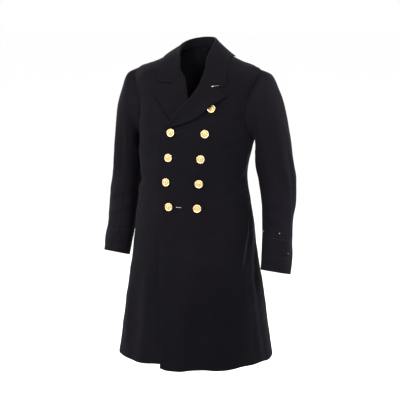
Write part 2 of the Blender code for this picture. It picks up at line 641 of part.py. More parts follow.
def lapel(side, material):
    """Lapel turned back along the roll line and lying on its forepart."""
    free = np.array(LEFT_LAPEL_EDGE if side > 0 else RIGHT_LAPEL_EDGE)
    rows = 15
    share = np.linspace(0, 1, rows)
    roll_angle, roll_level = roll_line(side, share)
    roll = body_point(roll_angle, roll_level)[:, [0, 2]]
    outer = np.stack([smooth(np.linspace(0, 1, len(free)), free[:, k], share) for k in range(2)], axis=1)
    across = np.array(LEAF_SHARES)
    places = roll[:, None] + (outer - roll)[:, None] * across[:, None]
    pull = (1 - fade(share / GORGE_REACH))[:, None, None]
    places = places + (gorge_line(side, free[0]) - places[0]) * pull
    radius = np.full(rows, ROLL_RADIUS)
    if side < 0:
        pressed = fade((share - PRESSED_START) / PRESSED_RUN)
        radius = ROLL_RADIUS + (LAPEL_CLEARANCE / 2 - ROLL_RADIUS) * pressed
    height = leaf_height(across, radius[:, None])
    if side > 0:
        angle, level = from_front(places[..., 0], places[..., 1])
        button = body_point(*from_front(BUTTON_ROWS[-1][1], BUTTON_ROWS[-1][0]))
        near = np.linalg.norm(body_point(angle, level) - button, axis=-1)
        height = height + BUTTON_UNDER_LAPEL * np.exp(-(near / BUTTON_SWELL)**2)
    leaf = on_front(side, places, height)
    point, normal, off = front_frame(side, roll_angle, roll_level)
    curl = []
    for turn in LAPEL_ROLL_TURNS:
        reach = radius * math.sin(math.radians(turn)) + SEAM_GAP
        rise = radius * (1 - math.cos(math.radians(turn)))
        curl.append(point + off * reach[:, None] + normal * rise[:, None])
    points = np.concatenate([np.stack(curl, axis=1), leaf], axis=1)
    points = inset(inset(points, ("low",), SEAM_GAP), ("start",), SEAM_GAP / 2)
    return sheet_piece("left_lapel" if side > 0 else "right_lapel", points, material, side > 0)


def collar_side(side, share):
    """Cross sections of the collar from the centre back to one front end."""
    names = COLLAR_COLUMNS
    knots = table_column(COLLAR_STATIONS, names, "share")
    corner = np.array(LEFT_COLLAR_CORNER if side > 0 else RIGHT_COLLAR_CORNER)
    knots = np.append(knots, 1.0)
    seam_end = roll_line(side, 0.0)
    edge_end = from_front(*corner)
    end_point, end_normal, end_off = front_frame(side, *seam_end)
    end_fold = end_point + end_off * ROLL_RADIUS + end_normal * ROLL_RADIUS

    def column(name, last):
        return smooth(knots, np.append(table_column(COLLAR_STATIONS, names, name), last), share)

    edge = np.array(LEFT_EDGE if side > 0 else RIGHT_EDGE)
    down = np.clip((share - NECK_CORNER_SHARE) / (1 - NECK_CORNER_SHARE), 0.0, 1.0)
    seam_level = NECK_LEVEL + (seam_end[1] - NECK_LEVEL) * down
    round_neck = side * column("seam_angle", NECK_FRONT_ANGLE)
    seam_angle = np.where(down > 0, edge_angles(edge, side, seam_level), round_neck)
    seam = body_point(seam_angle, seam_level)
    seam = seam + body_normal(seam_angle, seam_level) * front_shift(side, seam_angle, seam_level)[..., None]
    fold_end = end_fold * np.array([side, 1.0, 1.0])
    fold = np.stack([side * column("fold_x", fold_end[0]), column("fold_y", fold_end[1]),
                     column("fold_z", fold_end[2])], axis=1)
    fold[:, 2] += COLLAR_TILT * fold[:, 0] * (1 - fade((share - 0.55) / 0.4))
    edge_angle = side * column("edge_angle", side * edge_end[0])
    edge_level = column("edge_level", edge_end[1])
    turn = fade((share - FRONT_TURN_SHARE) / (1 - FRONT_TURN_SHARE))[:, None]
    flat_out = unit((fold - np.array([0.0, -0.006, 0.0])) * np.array([1.0, 1.0, 0.0]))
    out = unit(flat_out * (1 - turn) + end_normal * turn)
    up = np.array([0.0, 0.0, 1.0]) * (1 - turn) + end_off * turn
    up = unit(up - out * np.sum(up * out, axis=-1, keepdims=True))
    r = ROLL_RADIUS
    centre = fold - up * r
    arc = [centre + (up * math.sin(turned) - out * math.cos(turned)) * r
           for turned in np.radians(COLLAR_ROLL_TURNS)]
    neck_normal = body_normal(seam_angle, seam_level)
    around = unit(body_point(seam_angle + side, seam_level) - body_point(seam_angle - side, seam_level))
    off_neck = unit(np.cross(neck_normal, around)) * side
    off_edge = unit(off_neck * (1 - turn) + end_off * turn)
    corner_ease = CORNER_EASE * np.exp(-((share - NECK_CORNER_SHARE) / CORNER_WIDTH)**2)
    rooted = seam + off_edge * (SEAM_GAP + corner_ease)[:, None]
    risen = seam + off_edge * STAND_RISE + unit(arc[0] - rooted) * CORNER_EASE
    risen = risen * (1 - turn) + (rooted + (arc[0] - rooted) * 0.33) * turn
    sections = [rooted, risen, risen + (arc[0] - risen) * 0.5] + arc
    middle_angle = (seam_angle + edge_angle) / 2
    middle_level = (seam_level + edge_level) / 2

    def over_body(angle, level, height):
        lifted = front_shift(side, angle, level) + height
        return body_point(angle, level) + body_normal(angle, level) * lifted[..., None]

    start = centre + out * r
    middle = over_body(middle_angle, middle_level, FALL_SPRING)
    over_corner = np.exp(-((share - NECK_CORNER_SHARE) / CORNER_WIDTH)**2)
    clearance = COLLAR_CLEARANCE + CORNER_CLEARANCE * over_corner
    last = over_body(edge_angle, edge_level, clearance)
    bent = on_front(side, gorge_line(side, corner), leaf_height(np.array(LEAF_SHARES)))
    pull = fade((share - END_PULL_SHARE) / (1 - END_PULL_SHARE))[:, None]
    for k, q in enumerate(FALL_SHARES):
        free = (1 - q)**2 * start + 2 * q * (1 - q) * middle + q**2 * last
        guess_angle = seam_angle + (edge_angle - seam_angle) * q
        guess_level = seam_level + (edge_level - seam_level) * q
        under_angle, under_level = nearest_on_body(free, guess_angle, guess_level)
        under = over_body(under_angle, under_level, 0.0)
        normal = body_normal(under_angle, under_level)
        height = np.sum((free - under) * normal, axis=-1)
        free = free + normal * np.maximum(clearance - height, 0.0)[:, None]
        sections.append(free * (1 - pull) + bent[k] * pull)
    return np.stack(sections, axis=1)


def collar(material):
    """Folded collar round the neck, stand and fall in one piece."""
    share = np.array(COLLAR_SHARES)
    left = collar_side(1.0, share)
    right = collar_side(-1.0, share)
    points = np.concatenate([right[:0:-1], left])
    points = inset(inset(points, ("low", "high"), SEAM_GAP), ("start",), SEAM_GAP / 2)
    return sheet_piece("collar", points, material, True)


def button_mesh(material):
    """Gilt button turned about Z: flat disc with a rolled rim, a low dome and a shank behind."""
    radius = BUTTON_DIAMETER / 2
    base = SHANK_LENGTH
    top = base + BUTTON_BACK
    profile = ((0.0, top + BUTTON_DOME), (radius * 0.62, top + BUTTON_DOME * 0.8),
               (radius * 0.80, top + BUTTON_RIM * 0.35), (radius * 0.92, top + BUTTON_RIM),
               (radius, top + BUTTON_RIM * 0.2), (radius, base + BUTTON_BACK * 0.4),
               (radius * 0.90, base), (SHANK_DIAMETER / 2, base), (SHANK_DIAMETER / 2, 0.0), (0.0, 0.0))
    mesh = bpy.data.meshes.new("button_profile")
    mesh.from_pydata([(x, 0.0, z) for x, z in profile], [(i, i + 1) for i in range(len(profile) - 1)], [])
    mesh.materials.append(material)
    return mesh


def seat_height(cloths, place, normal):
    """How far out along a normal a button's shank meets the outer faces of the cloth."""
    across = unit(np.cross(normal, (0.0, 0.0, 1.0)))
    up = np.cross(across, normal)
    heights = []
    for turn in np.linspace(0.0, 2 * math.pi, 12, endpoint=False):
        rim = (across * math.cos(turn) + up * math.sin(turn)) * SHANK_DIAMETER / 2
        for cloth in cloths:
            hit = cloth.ray_cast(Vector(place + rim + normal * SEAT_REACH), Vector(-normal))
            if hit[0] is not None:
                heights.append(SEAT_REACH - hit[3])
    return max(heights)


def buttons(material):
    """Nine buttons in two columns, each with its shank seated on the left front's outer face."""
    mesh = button_mesh(material)
    built = bpy.context.evaluated_depsgraph_get()
    cloths = [BVHTree.FromObject(bpy.data.objects[name], built) for name in ("left_forepart", "left_skirt")]
    for row, (height, left_x, right_x) in enumerate(BUTTON_ROWS):
        for word, x in (("left", left_x), ("right", right_x)):
            if x is None:
                continue
            angle, level = from_front(x, height)
            normal = body_normal(angle, level)
            place = body_point(angle, level)
            place = place + normal * (seat_height(cloths, place, normal) + SEAT_GAP)
            piece = bpy.data.objects.new(f"button_{word}_{row + 1}", mesh)
            parts_collection().objects.link(piece)
            turn = Vector(normal).to_track_quat("Z", "Y").to_matrix().to_4x4()
            piece.matrix_world = Matrix.Translation(Vector(place)) @ turn
            screw = piece.modifiers.new("turned", "SCREW")
            screw.axis = "Z"
            screw.steps = 18
            screw.render_steps = 18
            screw.use_merge_vertices = True
            screw.merge_threshold = 0.00005
            screw.use_smooth_shade = True


def main():
    clear_scene()
    wool = cloth_material("dark_wool", (0.010, 0.010, 0.014), 0.95, 0.0)
    gilt = cloth_material("gilt_brass", (0.80, 0.66, 0.36), 0.35, 1.0)
    for side in (1.0, -1.0):
        forepart(side, wool)
        sidebody(side, wool)
        back(side, wool)
        skirt(side, wool)
        sleeves(side, wool)
        lapel(side, wool)
    collar(wool)
    buttons(gilt)


main()
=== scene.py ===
"""Double-breasted sailor's frock coat in its worn, hanging form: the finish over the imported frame.

The body cloth is one smooth form through the rings of BODY_RINGS.  An angle runs round it from the
centre front (0) over the wearer's left side (90) to the centre back (180), and a level runs up it
from the hem.  Each cut piece is a patch of that form, each sleeve a tube through its own rings, and
the creases of the tables stand out of or sink into both along their outward direction.
"""

import math

import bpy
import numpy as np
from mathutils import Matrix, Vector


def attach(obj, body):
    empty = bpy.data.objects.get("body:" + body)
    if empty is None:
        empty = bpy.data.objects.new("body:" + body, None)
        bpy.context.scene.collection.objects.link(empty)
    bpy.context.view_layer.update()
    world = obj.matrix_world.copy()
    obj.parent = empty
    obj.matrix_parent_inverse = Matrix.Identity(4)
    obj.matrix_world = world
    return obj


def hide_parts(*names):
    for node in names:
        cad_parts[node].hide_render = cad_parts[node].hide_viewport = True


bl_info = {
    "name": "Sailor coat",
    "version": (1, 0, 0),
    "blender": (4, 5, 0),
    "location": "3D View > Sidebar > Sailor coat",
    "description": "Finishes a sailor coat's cloth, buttons and stitching over its frame",
    "category": "Object",
}

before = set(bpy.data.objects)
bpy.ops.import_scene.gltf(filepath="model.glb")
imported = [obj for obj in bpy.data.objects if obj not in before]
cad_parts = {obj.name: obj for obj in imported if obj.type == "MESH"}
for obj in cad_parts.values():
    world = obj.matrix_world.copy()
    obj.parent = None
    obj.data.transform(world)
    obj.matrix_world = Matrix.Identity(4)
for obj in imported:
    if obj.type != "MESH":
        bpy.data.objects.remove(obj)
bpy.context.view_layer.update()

# Lengths are in metres, angles in degrees, and levels run up the body form from 0 at the hem
WAIST_LEVEL = 0.503
VENT_LEVEL = 0.470
ARMPIT_LEVEL = 0.705
SHOULDER_LEVEL = 0.915
NECK_LEVEL = 1.050
NECK_FRONT_ANGLE = 42.0
NECK_CALM = 0.03
NECK_CALM_RUN = 0.10

# Rows and columns of the patches that are cut from the body form, and of the sleeves
SKIRT_ROWS = 106
WAIST_ROWS = 46
ARMHOLE_ROWS = 61
SHOULDER_ROWS = 31
FRONT_COLUMNS = 56
SIDE_ROWS = 56
SIDE_COLUMNS = 41
BACK_COLUMNS = 36
SKIRT_COLUMNS = 112
SLEEVE_ROWS = 118
TOP_SLEEVE_COLUMNS = 62
UNDER_SLEEVE_COLUMNS = 40

# Gap between two pieces at a seam, the bell by which cloth sinks there and the swell beside it
SEAM_GAP = 0.0003
SINK_WIDTH = 0.0032
SWELL_SHARE = 0.45
SWELL_OFF = 0.0085
SWELL_WIDTH = 0.0045
EDGE_ZONE = 0.05

# How far the fronts stand off the form where they lap, and the x and level where that fades out
LAP_SHIFT = 0.00155
LAP_EDGE_X = 0.150
LAP_FADE = 0.045
SKIRT_LAP_SHIFT = 0.0020
SKIRT_LAP_RUN = 0.12

# The left forepart's extra lift beside the neck opening
V_LIFT = 0.0052
V_LIFT_WIDTH = 0.075
V_BOTTOM_Z = -0.290
V_TOP_Z = -0.050
V_FADE = 0.048

# The back's vent, where the left half laps over the right, and the seam allowances above it
VENT_LAP_ABOVE = 0.115
VENT_LAP_RUN = 0.070
VENT_LAP_X = 0.075
VENT_LAP_FADE = 0.035
VENT_LAP_ANGLE = 6.5
ALLOWANCE_ANGLE = 3.6
ALLOWANCE_DEPTH = 0.0006

# The armhole is a ring of steps; seams of body and sleeve meet it at some of them
ARMHOLE_HALF_ANGLE = 34.0
ARM_STEPS = 32
SIDE_FRONT_STEP = 12
SIDE_BACK_STEP = 20
FOREARM_STEP = 10
HINDARM_STEP = 22

# Seat of the sleeve head in the armhole, and the shoulder's padding around it
SLEEVE_HEAD_EASE = 0.0010
HEAD_GAP = 0.0009
HEAD_SHARE = 0.30
HEAD_RISE = 0.0008
UNDER_ARM = 0.55
UNDER_ARM_FADE = 0.5
FILL_HEIGHT = 0.0052
FILL_REACH = 0.20

# The skirt's hem rises towards the wearer's left, and its folds turn and grow on their way down
HEM_LIFT = 0.017
HEM_LIFT_X = 0.23
HEM_LIFT_LEVEL = 0.45
HEM_REACH = 0.12
FOLD_TURNED_BY = 0.5
FOLD_FULL_BY = 0.625

# Share of a crease's length over which each of its ends fades, and heights of the cloth's small waves
CREASE_END = 0.35
WAVE_HEIGHTS = (0.00055, 0.00022, 0.00020)
SLEEVE_WAVE_SHARE = 0.8
HEAD_CALM_RUN = 0.035
CUFF_CALM_SHARE = 0.35
CUFF_CALM_RUN = 0.05

# Rings of the body form: half width to the side, front, side and back as y and as z
BODY_COLUMNS = ("level", "centre_x", "half_width", "side_y", "front_y", "back_y",
                "front_z", "side_z", "back_z", "squareness")
BODY_RINGS = (
    (0.000, -0.003, 0.2460, -0.035, -0.195, 0.125, -0.976, -0.976, -0.976, 2.05),
    (0.080, -0.003, 0.2330, -0.035, -0.188, 0.118, -0.890, -0.890, -0.890, 2.05),
    (0.200, -0.003, 0.2160, -0.035, -0.180, 0.110, -0.770, -0.770, -0.770, 2.10),
    (0.330, -0.003, 0.1985, -0.035, -0.169, 0.104, -0.640, -0.640, -0.640, 2.10),
    (0.454, -0.004, 0.1870, -0.036, -0.160, 0.092, -0.516, -0.516, -0.516, 2.15),
    (0.503, -0.005, 0.1790, -0.037, -0.155, 0.082, -0.467, -0.467, -0.467, 2.20),
    (0.595, -0.005, 0.1670, -0.037, -0.150, 0.074, -0.375, -0.375, -0.375, 2.20),
    (0.670, -0.003, 0.1765, -0.028, -0.143, 0.082, -0.300, -0.300, -0.300, 2.30),
    (0.708, -0.001, 0.1800, -0.018, -0.138, 0.088, -0.262, -0.262, -0.262, 2.40),
    (0.790, 0.000, 0.1870, -0.010, -0.125, 0.090, -0.187, -0.180, -0.178, 2.70),
    (0.860, 0.000, 0.1925, -0.006, -0.106, 0.082, -0.126, -0.112, -0.108, 3.00),
    (0.893, 0.000, 0.1950, -0.005, -0.091, 0.073, -0.101, -0.080, -0.077, 3.10),
    (0.915, 0.000, 0.1880, -0.004, -0.080, 0.065, -0.084, -0.059, -0.057, 3.10),
    (0.980, 0.000, 0.1350, -0.004, -0.073, 0.056, -0.060, -0.034, -0.024, 2.60),
    (1.050, 0.000, 0.0690, -0.005, -0.066, 0.050, -0.045, -0.005, 0.006, 2.00),
)

# Long soft folds of the skirt: angle where each starts and ends, the level where it dies out at
# the top, its half width in degrees and how far it stands out (a trough where it is negative)
SKIRT_FOLDS = (
    (96.0, 57.0, 0.520, 6.5, 0.0075),
    (101.0, 82.0, 0.500, 7.5, -0.0085),
    (40.0, 34.0, 0.420, 10.0, -0.0050),
    (13.0, 4.0, 0.460, 11.0, 0.0045),
    (-52.0, -46.0, 0.460, 9.0, -0.0055),
    (-78.0, -72.0, 0.480, 10.0, 0.0065),
    (118.0, 108.0, 0.480, 10.0, 0.0075),
    (146.0, 132.0, 0.500, 8.0, -0.0080),
    (-112.0, -104.0, 0.480, 9.0, -0.0070),
    (-140.0, -128.0, 0.500, 9.0, 0.0080),
)

# Creases on the body form: start angle and level, end angle and level, half width and height in
# metres, and how much wider the side that faces down or back is
BODY_CREASES = (
    (64.0, 0.548, 96.0, 0.538, 0.0075, 0.0046, 1.4),
    (60.0, 0.533, 92.0, 0.522, 0.0060, -0.0036, 1.2),
    (50.0, 0.592, 88.0, 0.574, 0.0100, -0.0030, 1.3),
    (46.0, 0.618, 84.0, 0.606, 0.0110, 0.0026, 1.2),
    (36.0, 0.560, 62.0, 0.575, 0.0120, 0.0020, 1.2),
    (-58.0, 0.545, -94.0, 0.534, 0.0085, 0.0038, 1.4),
    (-52.0, 0.572, -90.0, 0.566, 0.0090, -0.0032, 1.2),
    (-44.0, 0.606, -84.0, 0.594, 0.0110, 0.0024, 1.2),
    (46.0, 0.868, 60.0, 0.742, 0.0120, -0.0040, 1.5),
    (36.0, 0.858, 47.0, 0.752, 0.0150, 0.0030, 1.3),
    (58.0, 0.722, 30.0, 0.688, 0.0110, 0.0028, 1.3),
    (54.0, 0.700, 26.0, 0.664, 0.0110, -0.0024, 1.3),
    (-46.0, 0.866, -59.0, 0.740, 0.0120, -0.0038, 1.5),
    (-35.0, 0.850, -46.0, 0.748, 0.0150, 0.0026, 1.3),
    (-56.0, 0.716, -30.0, 0.680, 0.0110, 0.0026, 1.3),
    (-60.0, 0.694, -28.0, 0.652, 0.0110, -0.0022, 1.3),
    (74.0, 0.690, 82.0, 0.590, 0.0130, 0.0030, 1.3),
    (96.0, 0.695, 100.0, 0.600, 0.0130, -0.0030, 1.3),
    (-74.0, 0.690, -80.0, 0.590, 0.0130, 0.0028, 1.3),
    (-97.0, 0.690, -101.0, 0.595, 0.0130, -0.0030, 1.3),
    (140.0, 0.588, 174.0, 0.566, 0.0120, 0.0018, 1.5),
    (144.0, 0.562, 176.0, 0.552, 0.0110, -0.0016, 1.3),
    (-138.0, 0.566, -172.0, 0.580, 0.0120, 0.0017, 1.5),
    (126.0, 0.820, 158.0, 0.735, 0.0160, 0.0034, 1.4),
    (124.0, 0.785, 152.0, 0.705, 0.0140, -0.0030, 1.4),
    (-126.0, 0.815, -156.0, 0.730, 0.0160, 0.0032, 1.4),
    (-122.0, 0.780, -150.0, 0.700, 0.0140, -0.0032, 1.4),
    (176.0, 0.900, 178.0, 0.760, 0.0180, -0.0026, 1.2),
    (168.0, 0.700, 172.0, 0.610, 0.0120, 0.0024, 1.2),
    (-168.0, 0.710, -170.0, 0.620, 0.0120, 0.0022, 1.2),
    (22.0, 0.470, 26.0, 0.300, 0.0130, 0.0022, 1.2),
    (-24.0, 0.440, -20.0, 0.200, 0.0120, -0.0020, 1.2),
    (30.0, 0.250, 24.0, 0.020, 0.0150, 0.0040, 1.3),
    (18.0, 0.220, 15.0, 0.010, 0.0140, -0.0034, 1.3),
    (4.0, 0.300, 3.0, 0.030, 0.0160, 0.0020, 1.3),
    (48.0, 0.360, 46.0, 0.100, 0.0140, 0.0026, 1.3),
    (-34.0, 0.340, -32.0, 0.050, 0.0150, 0.0028, 1.3),
    (66.0, 0.140, 62.0, 0.010, 0.0120, -0.0034, 1.3),
    (98.0, 0.514, 68.0, 0.388, 0.0042, 0.0030, 1.5),
    (76.0, 0.436, 55.0, 0.262, 0.0042, 0.0028, 1.5),
    (84.0, 0.300, 84.0, -0.200, 0.0220, 0.0050, 1.2),
    (58.0, 0.260, 56.0, -0.160, 0.0160, -0.0040, 1.2),
    (-62.0, 0.260, -58.0, 0.020, 0.0140, 0.0034, 1.3),
)
BODY_TURN_RADIUS = 0.175

# Front edge of each forepart from the neck down to the waist seam, as x and z seen from the front
LEFT_EDGE = ((0.0465, -0.040), (0.0465, -0.056), (0.042, -0.075), (0.034, -0.110), (0.008, -0.147),
             (-0.012, -0.167), (-0.040, -0.205), (-0.054, -0.229), (-0.074, -0.268), (-0.083, -0.467))
RIGHT_EDGE = ((-0.0445, -0.040), (-0.0400, -0.056), (-0.028, -0.075), (-0.012, -0.110), (0.000, -0.148),
              (0.014, -0.175), (0.045, -0.225), (0.068, -0.265), (0.074, -0.300), (0.074, -0.467))

# Edge of each skirt front as x at the waist and at the hem
LEFT_SKIRT_EDGE_X = (-0.083, -0.066)
RIGHT_SKIRT_EDGE_X = (0.074, 0.060)

# Hem line: angle round the form and how far above the form's lowest ring the cloth ends there
LEFT_HEM = ((-15.0, 0.0060), (-9.5, 0.0020), (0.0, 0.0040), (11.0, 0.0095), (17.0, 0.0090),
            (29.0, 0.0020), (36.0, 0.0000), (52.0, 0.0060), (70.0, 0.0070), (85.0, 0.0015),
            (110.0, 0.0060), (180.0, 0.0060))
RIGHT_HEM = ((15.5, 0.0170), (21.0, 0.0145), (28.0, 0.0100), (45.0, 0.0062), (80.0, 0.0085),
             (180.0, 0.0060))

# Notches, free edges and corners of lapels and collar as x and z seen from the front
LEFT_NOTCH = (0.0740, -0.1040)
LEFT_LAPEL_EDGE = ((0.1215, -0.130), (0.0820, -0.158), (0.037, -0.194), (0.0050, -0.2095),
                   (-0.025, -0.2205), (-0.047, -0.2260))
LEFT_LAPEL_END_Z = -0.2185
RIGHT_NOTCH = (-0.0556, -0.0966)
RIGHT_LAPEL_EDGE = ((-0.1050, -0.134), (-0.0880, -0.153), (-0.072, -0.172), (-0.056, -0.191),
                    (-0.043, -0.207), (-0.034, -0.216))
RIGHT_LAPEL_END_Z = -0.164
LEFT_COLLAR_CORNER = (0.1115, -0.1050)
RIGHT_COLLAR_CORNER = (-0.1050, -0.0950)

# The roll, the leaf's height over the forepart and its pull towards the gorge seam
ROLL_RADIUS = 0.0031
LAPEL_CLEARANCE = 0.0036
COLLAR_CLEARANCE = 0.0044
GORGE_REACH = 0.35
EDGE_STAND = 0.0032
PRESSED_START = 0.45
PRESSED_RUN = 0.35
LAPEL_ROWS = 90
BUTTON_UNDER_LAPEL = 0.0080
BUTTON_SWELL = 0.030

# Half the collar from the centre back (share 0) towards its front end (share 1)
COLLAR_COLUMNS = ("share", "seam_angle", "fold_x", "fold_y", "fold_z", "edge_angle", "edge_level")
COLLAR_STATIONS = (
    (0.00, 180.0, 0.0000, 0.0530, 0.0370, 180.0, 0.985),
    (0.20, 150.0, 0.0275, 0.0460, 0.0350, 151.0, 0.988),
    (0.38, 120.0, 0.0465, 0.0240, 0.0295, 118.0, 1.000),
    (0.52, 90.0, 0.0540, -0.0060, 0.0210, 90.0, 1.012),
    (0.66, 66.0, 0.0515, -0.0320, 0.0050, 67.0, 1.006),
    (0.78, 48.0, 0.0465, -0.0510, -0.0110, 49.5, 0.986),
    (0.84, 42.0, 0.0432, -0.0580, -0.0195, 42.0, 0.969),
)
COLLAR_ROWS = 96
COLLAR_TILT = 0.08
NECK_MIDDLE = np.array([0.0, -0.006, 0.0])
NECK_CORNER_SHARE = 0.84
CORNER_WIDTH = 0.065
CORNER_EASE = 0.0012
CORNER_CLEARANCE = 0.0018
STAND_RISE = 0.0032
FALL_SPRING = 0.0090
FRONT_TURN_SHARE = 0.60
END_PULL_SHARE = 0.72

# Rings down a sleeve: x and z of the outer side, x and z of the inner side, y of the middle, half
# the depth from front to back, and how much higher the front is than the middle
LEFT_SLEEVE_RINGS = (
    (0.2265, -0.0680, 0.1865, -0.2665, -0.0135, 0.0665, 0.000),
    (0.2500, -0.1080, 0.1880, -0.2750, -0.0130, 0.0680, 0.000),
    (0.2730, -0.1720, 0.1885, -0.2890, -0.0110, 0.0680, 0.000),
    (0.2860, -0.2400, 0.1880, -0.3060, -0.0060, 0.0665, 0.000),
    (0.2990, -0.3300, 0.1870, -0.3380, 0.0000, 0.0640, -0.002),
    (0.3080, -0.3950, 0.1950, -0.4000, 0.0050, 0.0620, -0.001),
    (0.3095, -0.4500, 0.2040, -0.4520, 0.0010, 0.0590, 0.004),
    (0.3040, -0.5170, 0.2120, -0.5190, -0.0140, 0.0550, 0.010),
    (0.3060, -0.5650, 0.2160, -0.5620, -0.0280, 0.0520, 0.013),
    (0.3118, -0.6170, 0.2185, -0.6140, -0.0440, 0.0500, 0.014),
    (0.3105, -0.6710, 0.2200, -0.6640, -0.0610, 0.0480, 0.015),
)
RIGHT_SLEEVE_RINGS = (
    (-0.2230, -0.0720, -0.1865, -0.2665, -0.0135, 0.0665, 0.000),
    (-0.2400, -0.1080, -0.1880, -0.2750, -0.0130, 0.0680, 0.000),
    (-0.2590, -0.1720, -0.1885, -0.2890, -0.0110, 0.0680, 0.000),
    (-0.2680, -0.2400, -0.1880, -0.3060, -0.0060, 0.0665, 0.000),
    (-0.2805, -0.3300, -0.1870, -0.3380, 0.0000, 0.0640, -0.002),
    (-0.2890, -0.3950, -0.1930, -0.4000, 0.0050, 0.0620, -0.001),
    (-0.2970, -0.4520, -0.2000, -0.4520, 0.0010, 0.0590, 0.004),
    (-0.2955, -0.5150, -0.2080, -0.5170, -0.0140, 0.0550, 0.010),
    (-0.2940, -0.5600, -0.2120, -0.5620, -0.0280, 0.0520, 0.013),
    (-0.2955, -0.6030, -0.2155, -0.6060, -0.0440, 0.0500, 0.014),
    (-0.2960, -0.6400, -0.2200, -0.6480, -0.0590, 0.0480, 0.015),
)

# Creases on a sleeve: start turn in degrees and distance down the sleeve, the same at the end, half
# width and height in metres, and how much wider the far side is.  A turn of 0 is the outer side,
# 90 the front, 180 the side towards the body and 270 the back.
LEFT_SLEEVE_CREASES = (
    (36.0, 0.125, -6.0, 0.235, 0.0034, 0.0026, 1.4),
    (34.0, 0.070, 4.0, 0.185, 0.0036, 0.0022, 1.4),
    (8.0, 0.120, 12.0, 0.300, 0.0040, 0.0020, 1.3),
    (48.0, 0.170, 18.0, 0.420, 0.0044, 0.0026, 1.4),
    (40.0, 0.040, 52.0, 0.300, 0.0130, 0.0034, 1.4),
    (84.0, 0.060, 80.0, 0.250, 0.0120, -0.0034, 1.3),
    (18.0, 0.150, 26.0, 0.360, 0.0120, -0.0026, 1.3),
    (62.0, 0.300, 128.0, 0.330, 0.0090, 0.0036, 1.5),
    (56.0, 0.335, 140.0, 0.352, 0.0080, -0.0036, 1.2),
    (66.0, 0.372, 150.0, 0.368, 0.0090, 0.0038, 1.5),
    (50.0, 0.402, 130.0, 0.398, 0.0080, -0.0034, 1.2),
    (48.0, 0.436, 120.0, 0.420, 0.0100, 0.0030, 1.4),
    (20.0, 0.410, 60.0, 0.520, 0.0110, 0.0030, 1.4),
    (352.0, 0.430, 34.0, 0.560, 0.0120, -0.0026, 1.4),
    (110.0, 0.440, 84.0, 0.560, 0.0110, -0.0026, 1.4),
    (236.0, 0.330, 300.0, 0.352, 0.0110, 0.0026, 1.3),
    (240.0, 0.372, 310.0, 0.386, 0.0100, -0.0026, 1.3),
    (290.0, 0.060, 276.0, 0.230, 0.0140, 0.0036, 1.3),
    (318.0, 0.080, 306.0, 0.280, 0.0130, -0.0030, 1.3),
    (148.0, 0.080, 152.0, 0.260, 0.0130, 0.0030, 1.3),
    (346.0, 0.006, 346.0, 0.050, 0.0070, 0.0016, 1.2),
    (16.0, 0.006, 18.0, 0.045, 0.0070, 0.0016, 1.2),
    (262.0, 0.470, 284.0, 0.590, 0.0120, 0.0026, 1.3),
)
RIGHT_SLEEVE_CREASES = (
    (46.0, 0.050, 58.0, 0.280, 0.0130, 0.0032, 1.4),
    (88.0, 0.060, 90.0, 0.260, 0.0120, -0.0032, 1.3),
    (14.0, 0.170, 22.0, 0.340, 0.0120, -0.0024, 1.3),
    (58.0, 0.292, 124.0, 0.316, 0.0090, 0.0034, 1.5),
    (60.0, 0.326, 138.0, 0.340, 0.0080, -0.0034, 1.2),
    (54.0, 0.362, 146.0, 0.362, 0.0095, 0.0036, 1.5),
    (50.0, 0.396, 126.0, 0.388, 0.0080, -0.0030, 1.2),
    (30.0, 0.420, 96.0, 0.408, 0.0100, 0.0028, 1.4),
    (14.0, 0.420, 52.0, 0.510, 0.0110, 0.0026, 1.4),
    (104.0, 0.430, 92.0, 0.550, 0.0110, -0.0026, 1.4),
    (232.0, 0.322, 296.0, 0.346, 0.0110, 0.0026, 1.3),
    (244.0, 0.366, 306.0, 0.378, 0.0100, -0.0024, 1.3),
    (286.0, 0.070, 272.0, 0.250, 0.0140, 0.0034, 1.3),
    (316.0, 0.070, 302.0, 0.260, 0.0130, -0.0030, 1.3),
    (150.0, 0.090, 154.0, 0.250, 0.0130, 0.0028, 1.3),
    (350.0, 0.006, 350.0, 0.046, 0.0070, 0.0016, 1.2),
    (12.0, 0.006, 14.0, 0.050, 0.0070, 0.0014, 1.2),
    (258.0, 0.450, 280.0, 0.570, 0.0120, 0.0024, 1.3),
)
SLEEVE_TURN_RADIUS = 0.060
LAST_STATION = len(LEFT_SLEEVE_RINGS) + 1.0

# Painted highlight lines along the sharpest creases of skirt and left sleeve: y and z where each starts,
# slope and bend
SKIRT_HIGHLIGHT_LINE = (-0.068, -0.526, 0.326, 17.0)
SLEEVE_HIGHLIGHT_LINE = (-0.011, -0.281, 0.0, -5.4)
WEAVE_PITCH = 5200.0

# Softboxes: name, place and power in watts
LAMPS = (
    ("right_key", (-0.75, -1.9, 1.5), 58.0),
    ("left_key", (1.45, -1.5, 1.5), 86.0),
    ("right_fill", (-2.2, -0.9, 0.3), 50.0),
    ("left_rim", (1.9, 0.9, 0.7), 50.0),
    ("right_rim", (-1.9, 0.9, 0.7), 30.0),
)
FLOOR_REACH = 40.0

# Rings of old lace stitching round the cuffs: distance down the sleeve
LACE_LINES = (0.440, 0.497)
# Its loose ends on the wearer's left cuff: turn in degrees, distance down, length, radius and thread
LACE_ENDS = (
    (139.0, 0.419, 0.005, 0.0007, "pale_thread"),
    (66.0, 0.422, 0.002, 0.0006, "pale_thread"),
    (84.0, 0.437, 0.005, 0.0004, "grey_thread"),
    (100.0, 0.430, 0.005, 0.0004, "grey_thread"),
    (118.0, 0.433, 0.006, 0.0004, "grey_thread"),
    (52.0, 0.473, 0.006, 0.0004, "grey_thread"),
    (33.0, 0.481, 0.002, 0.0005, "pale_thread"),
)

# Button rows from the waist seam up: height, then x of the wearer's left and right column
BUTTON_ROWS = (
    (-0.4660, 0.0432, -0.0456),
    (-0.3916, 0.0470, -0.0559),
    (-0.3174, 0.0507, -0.0503),
    (-0.2425, 0.0609, -0.0438),
    (-0.1675, 0.0762, None),
)
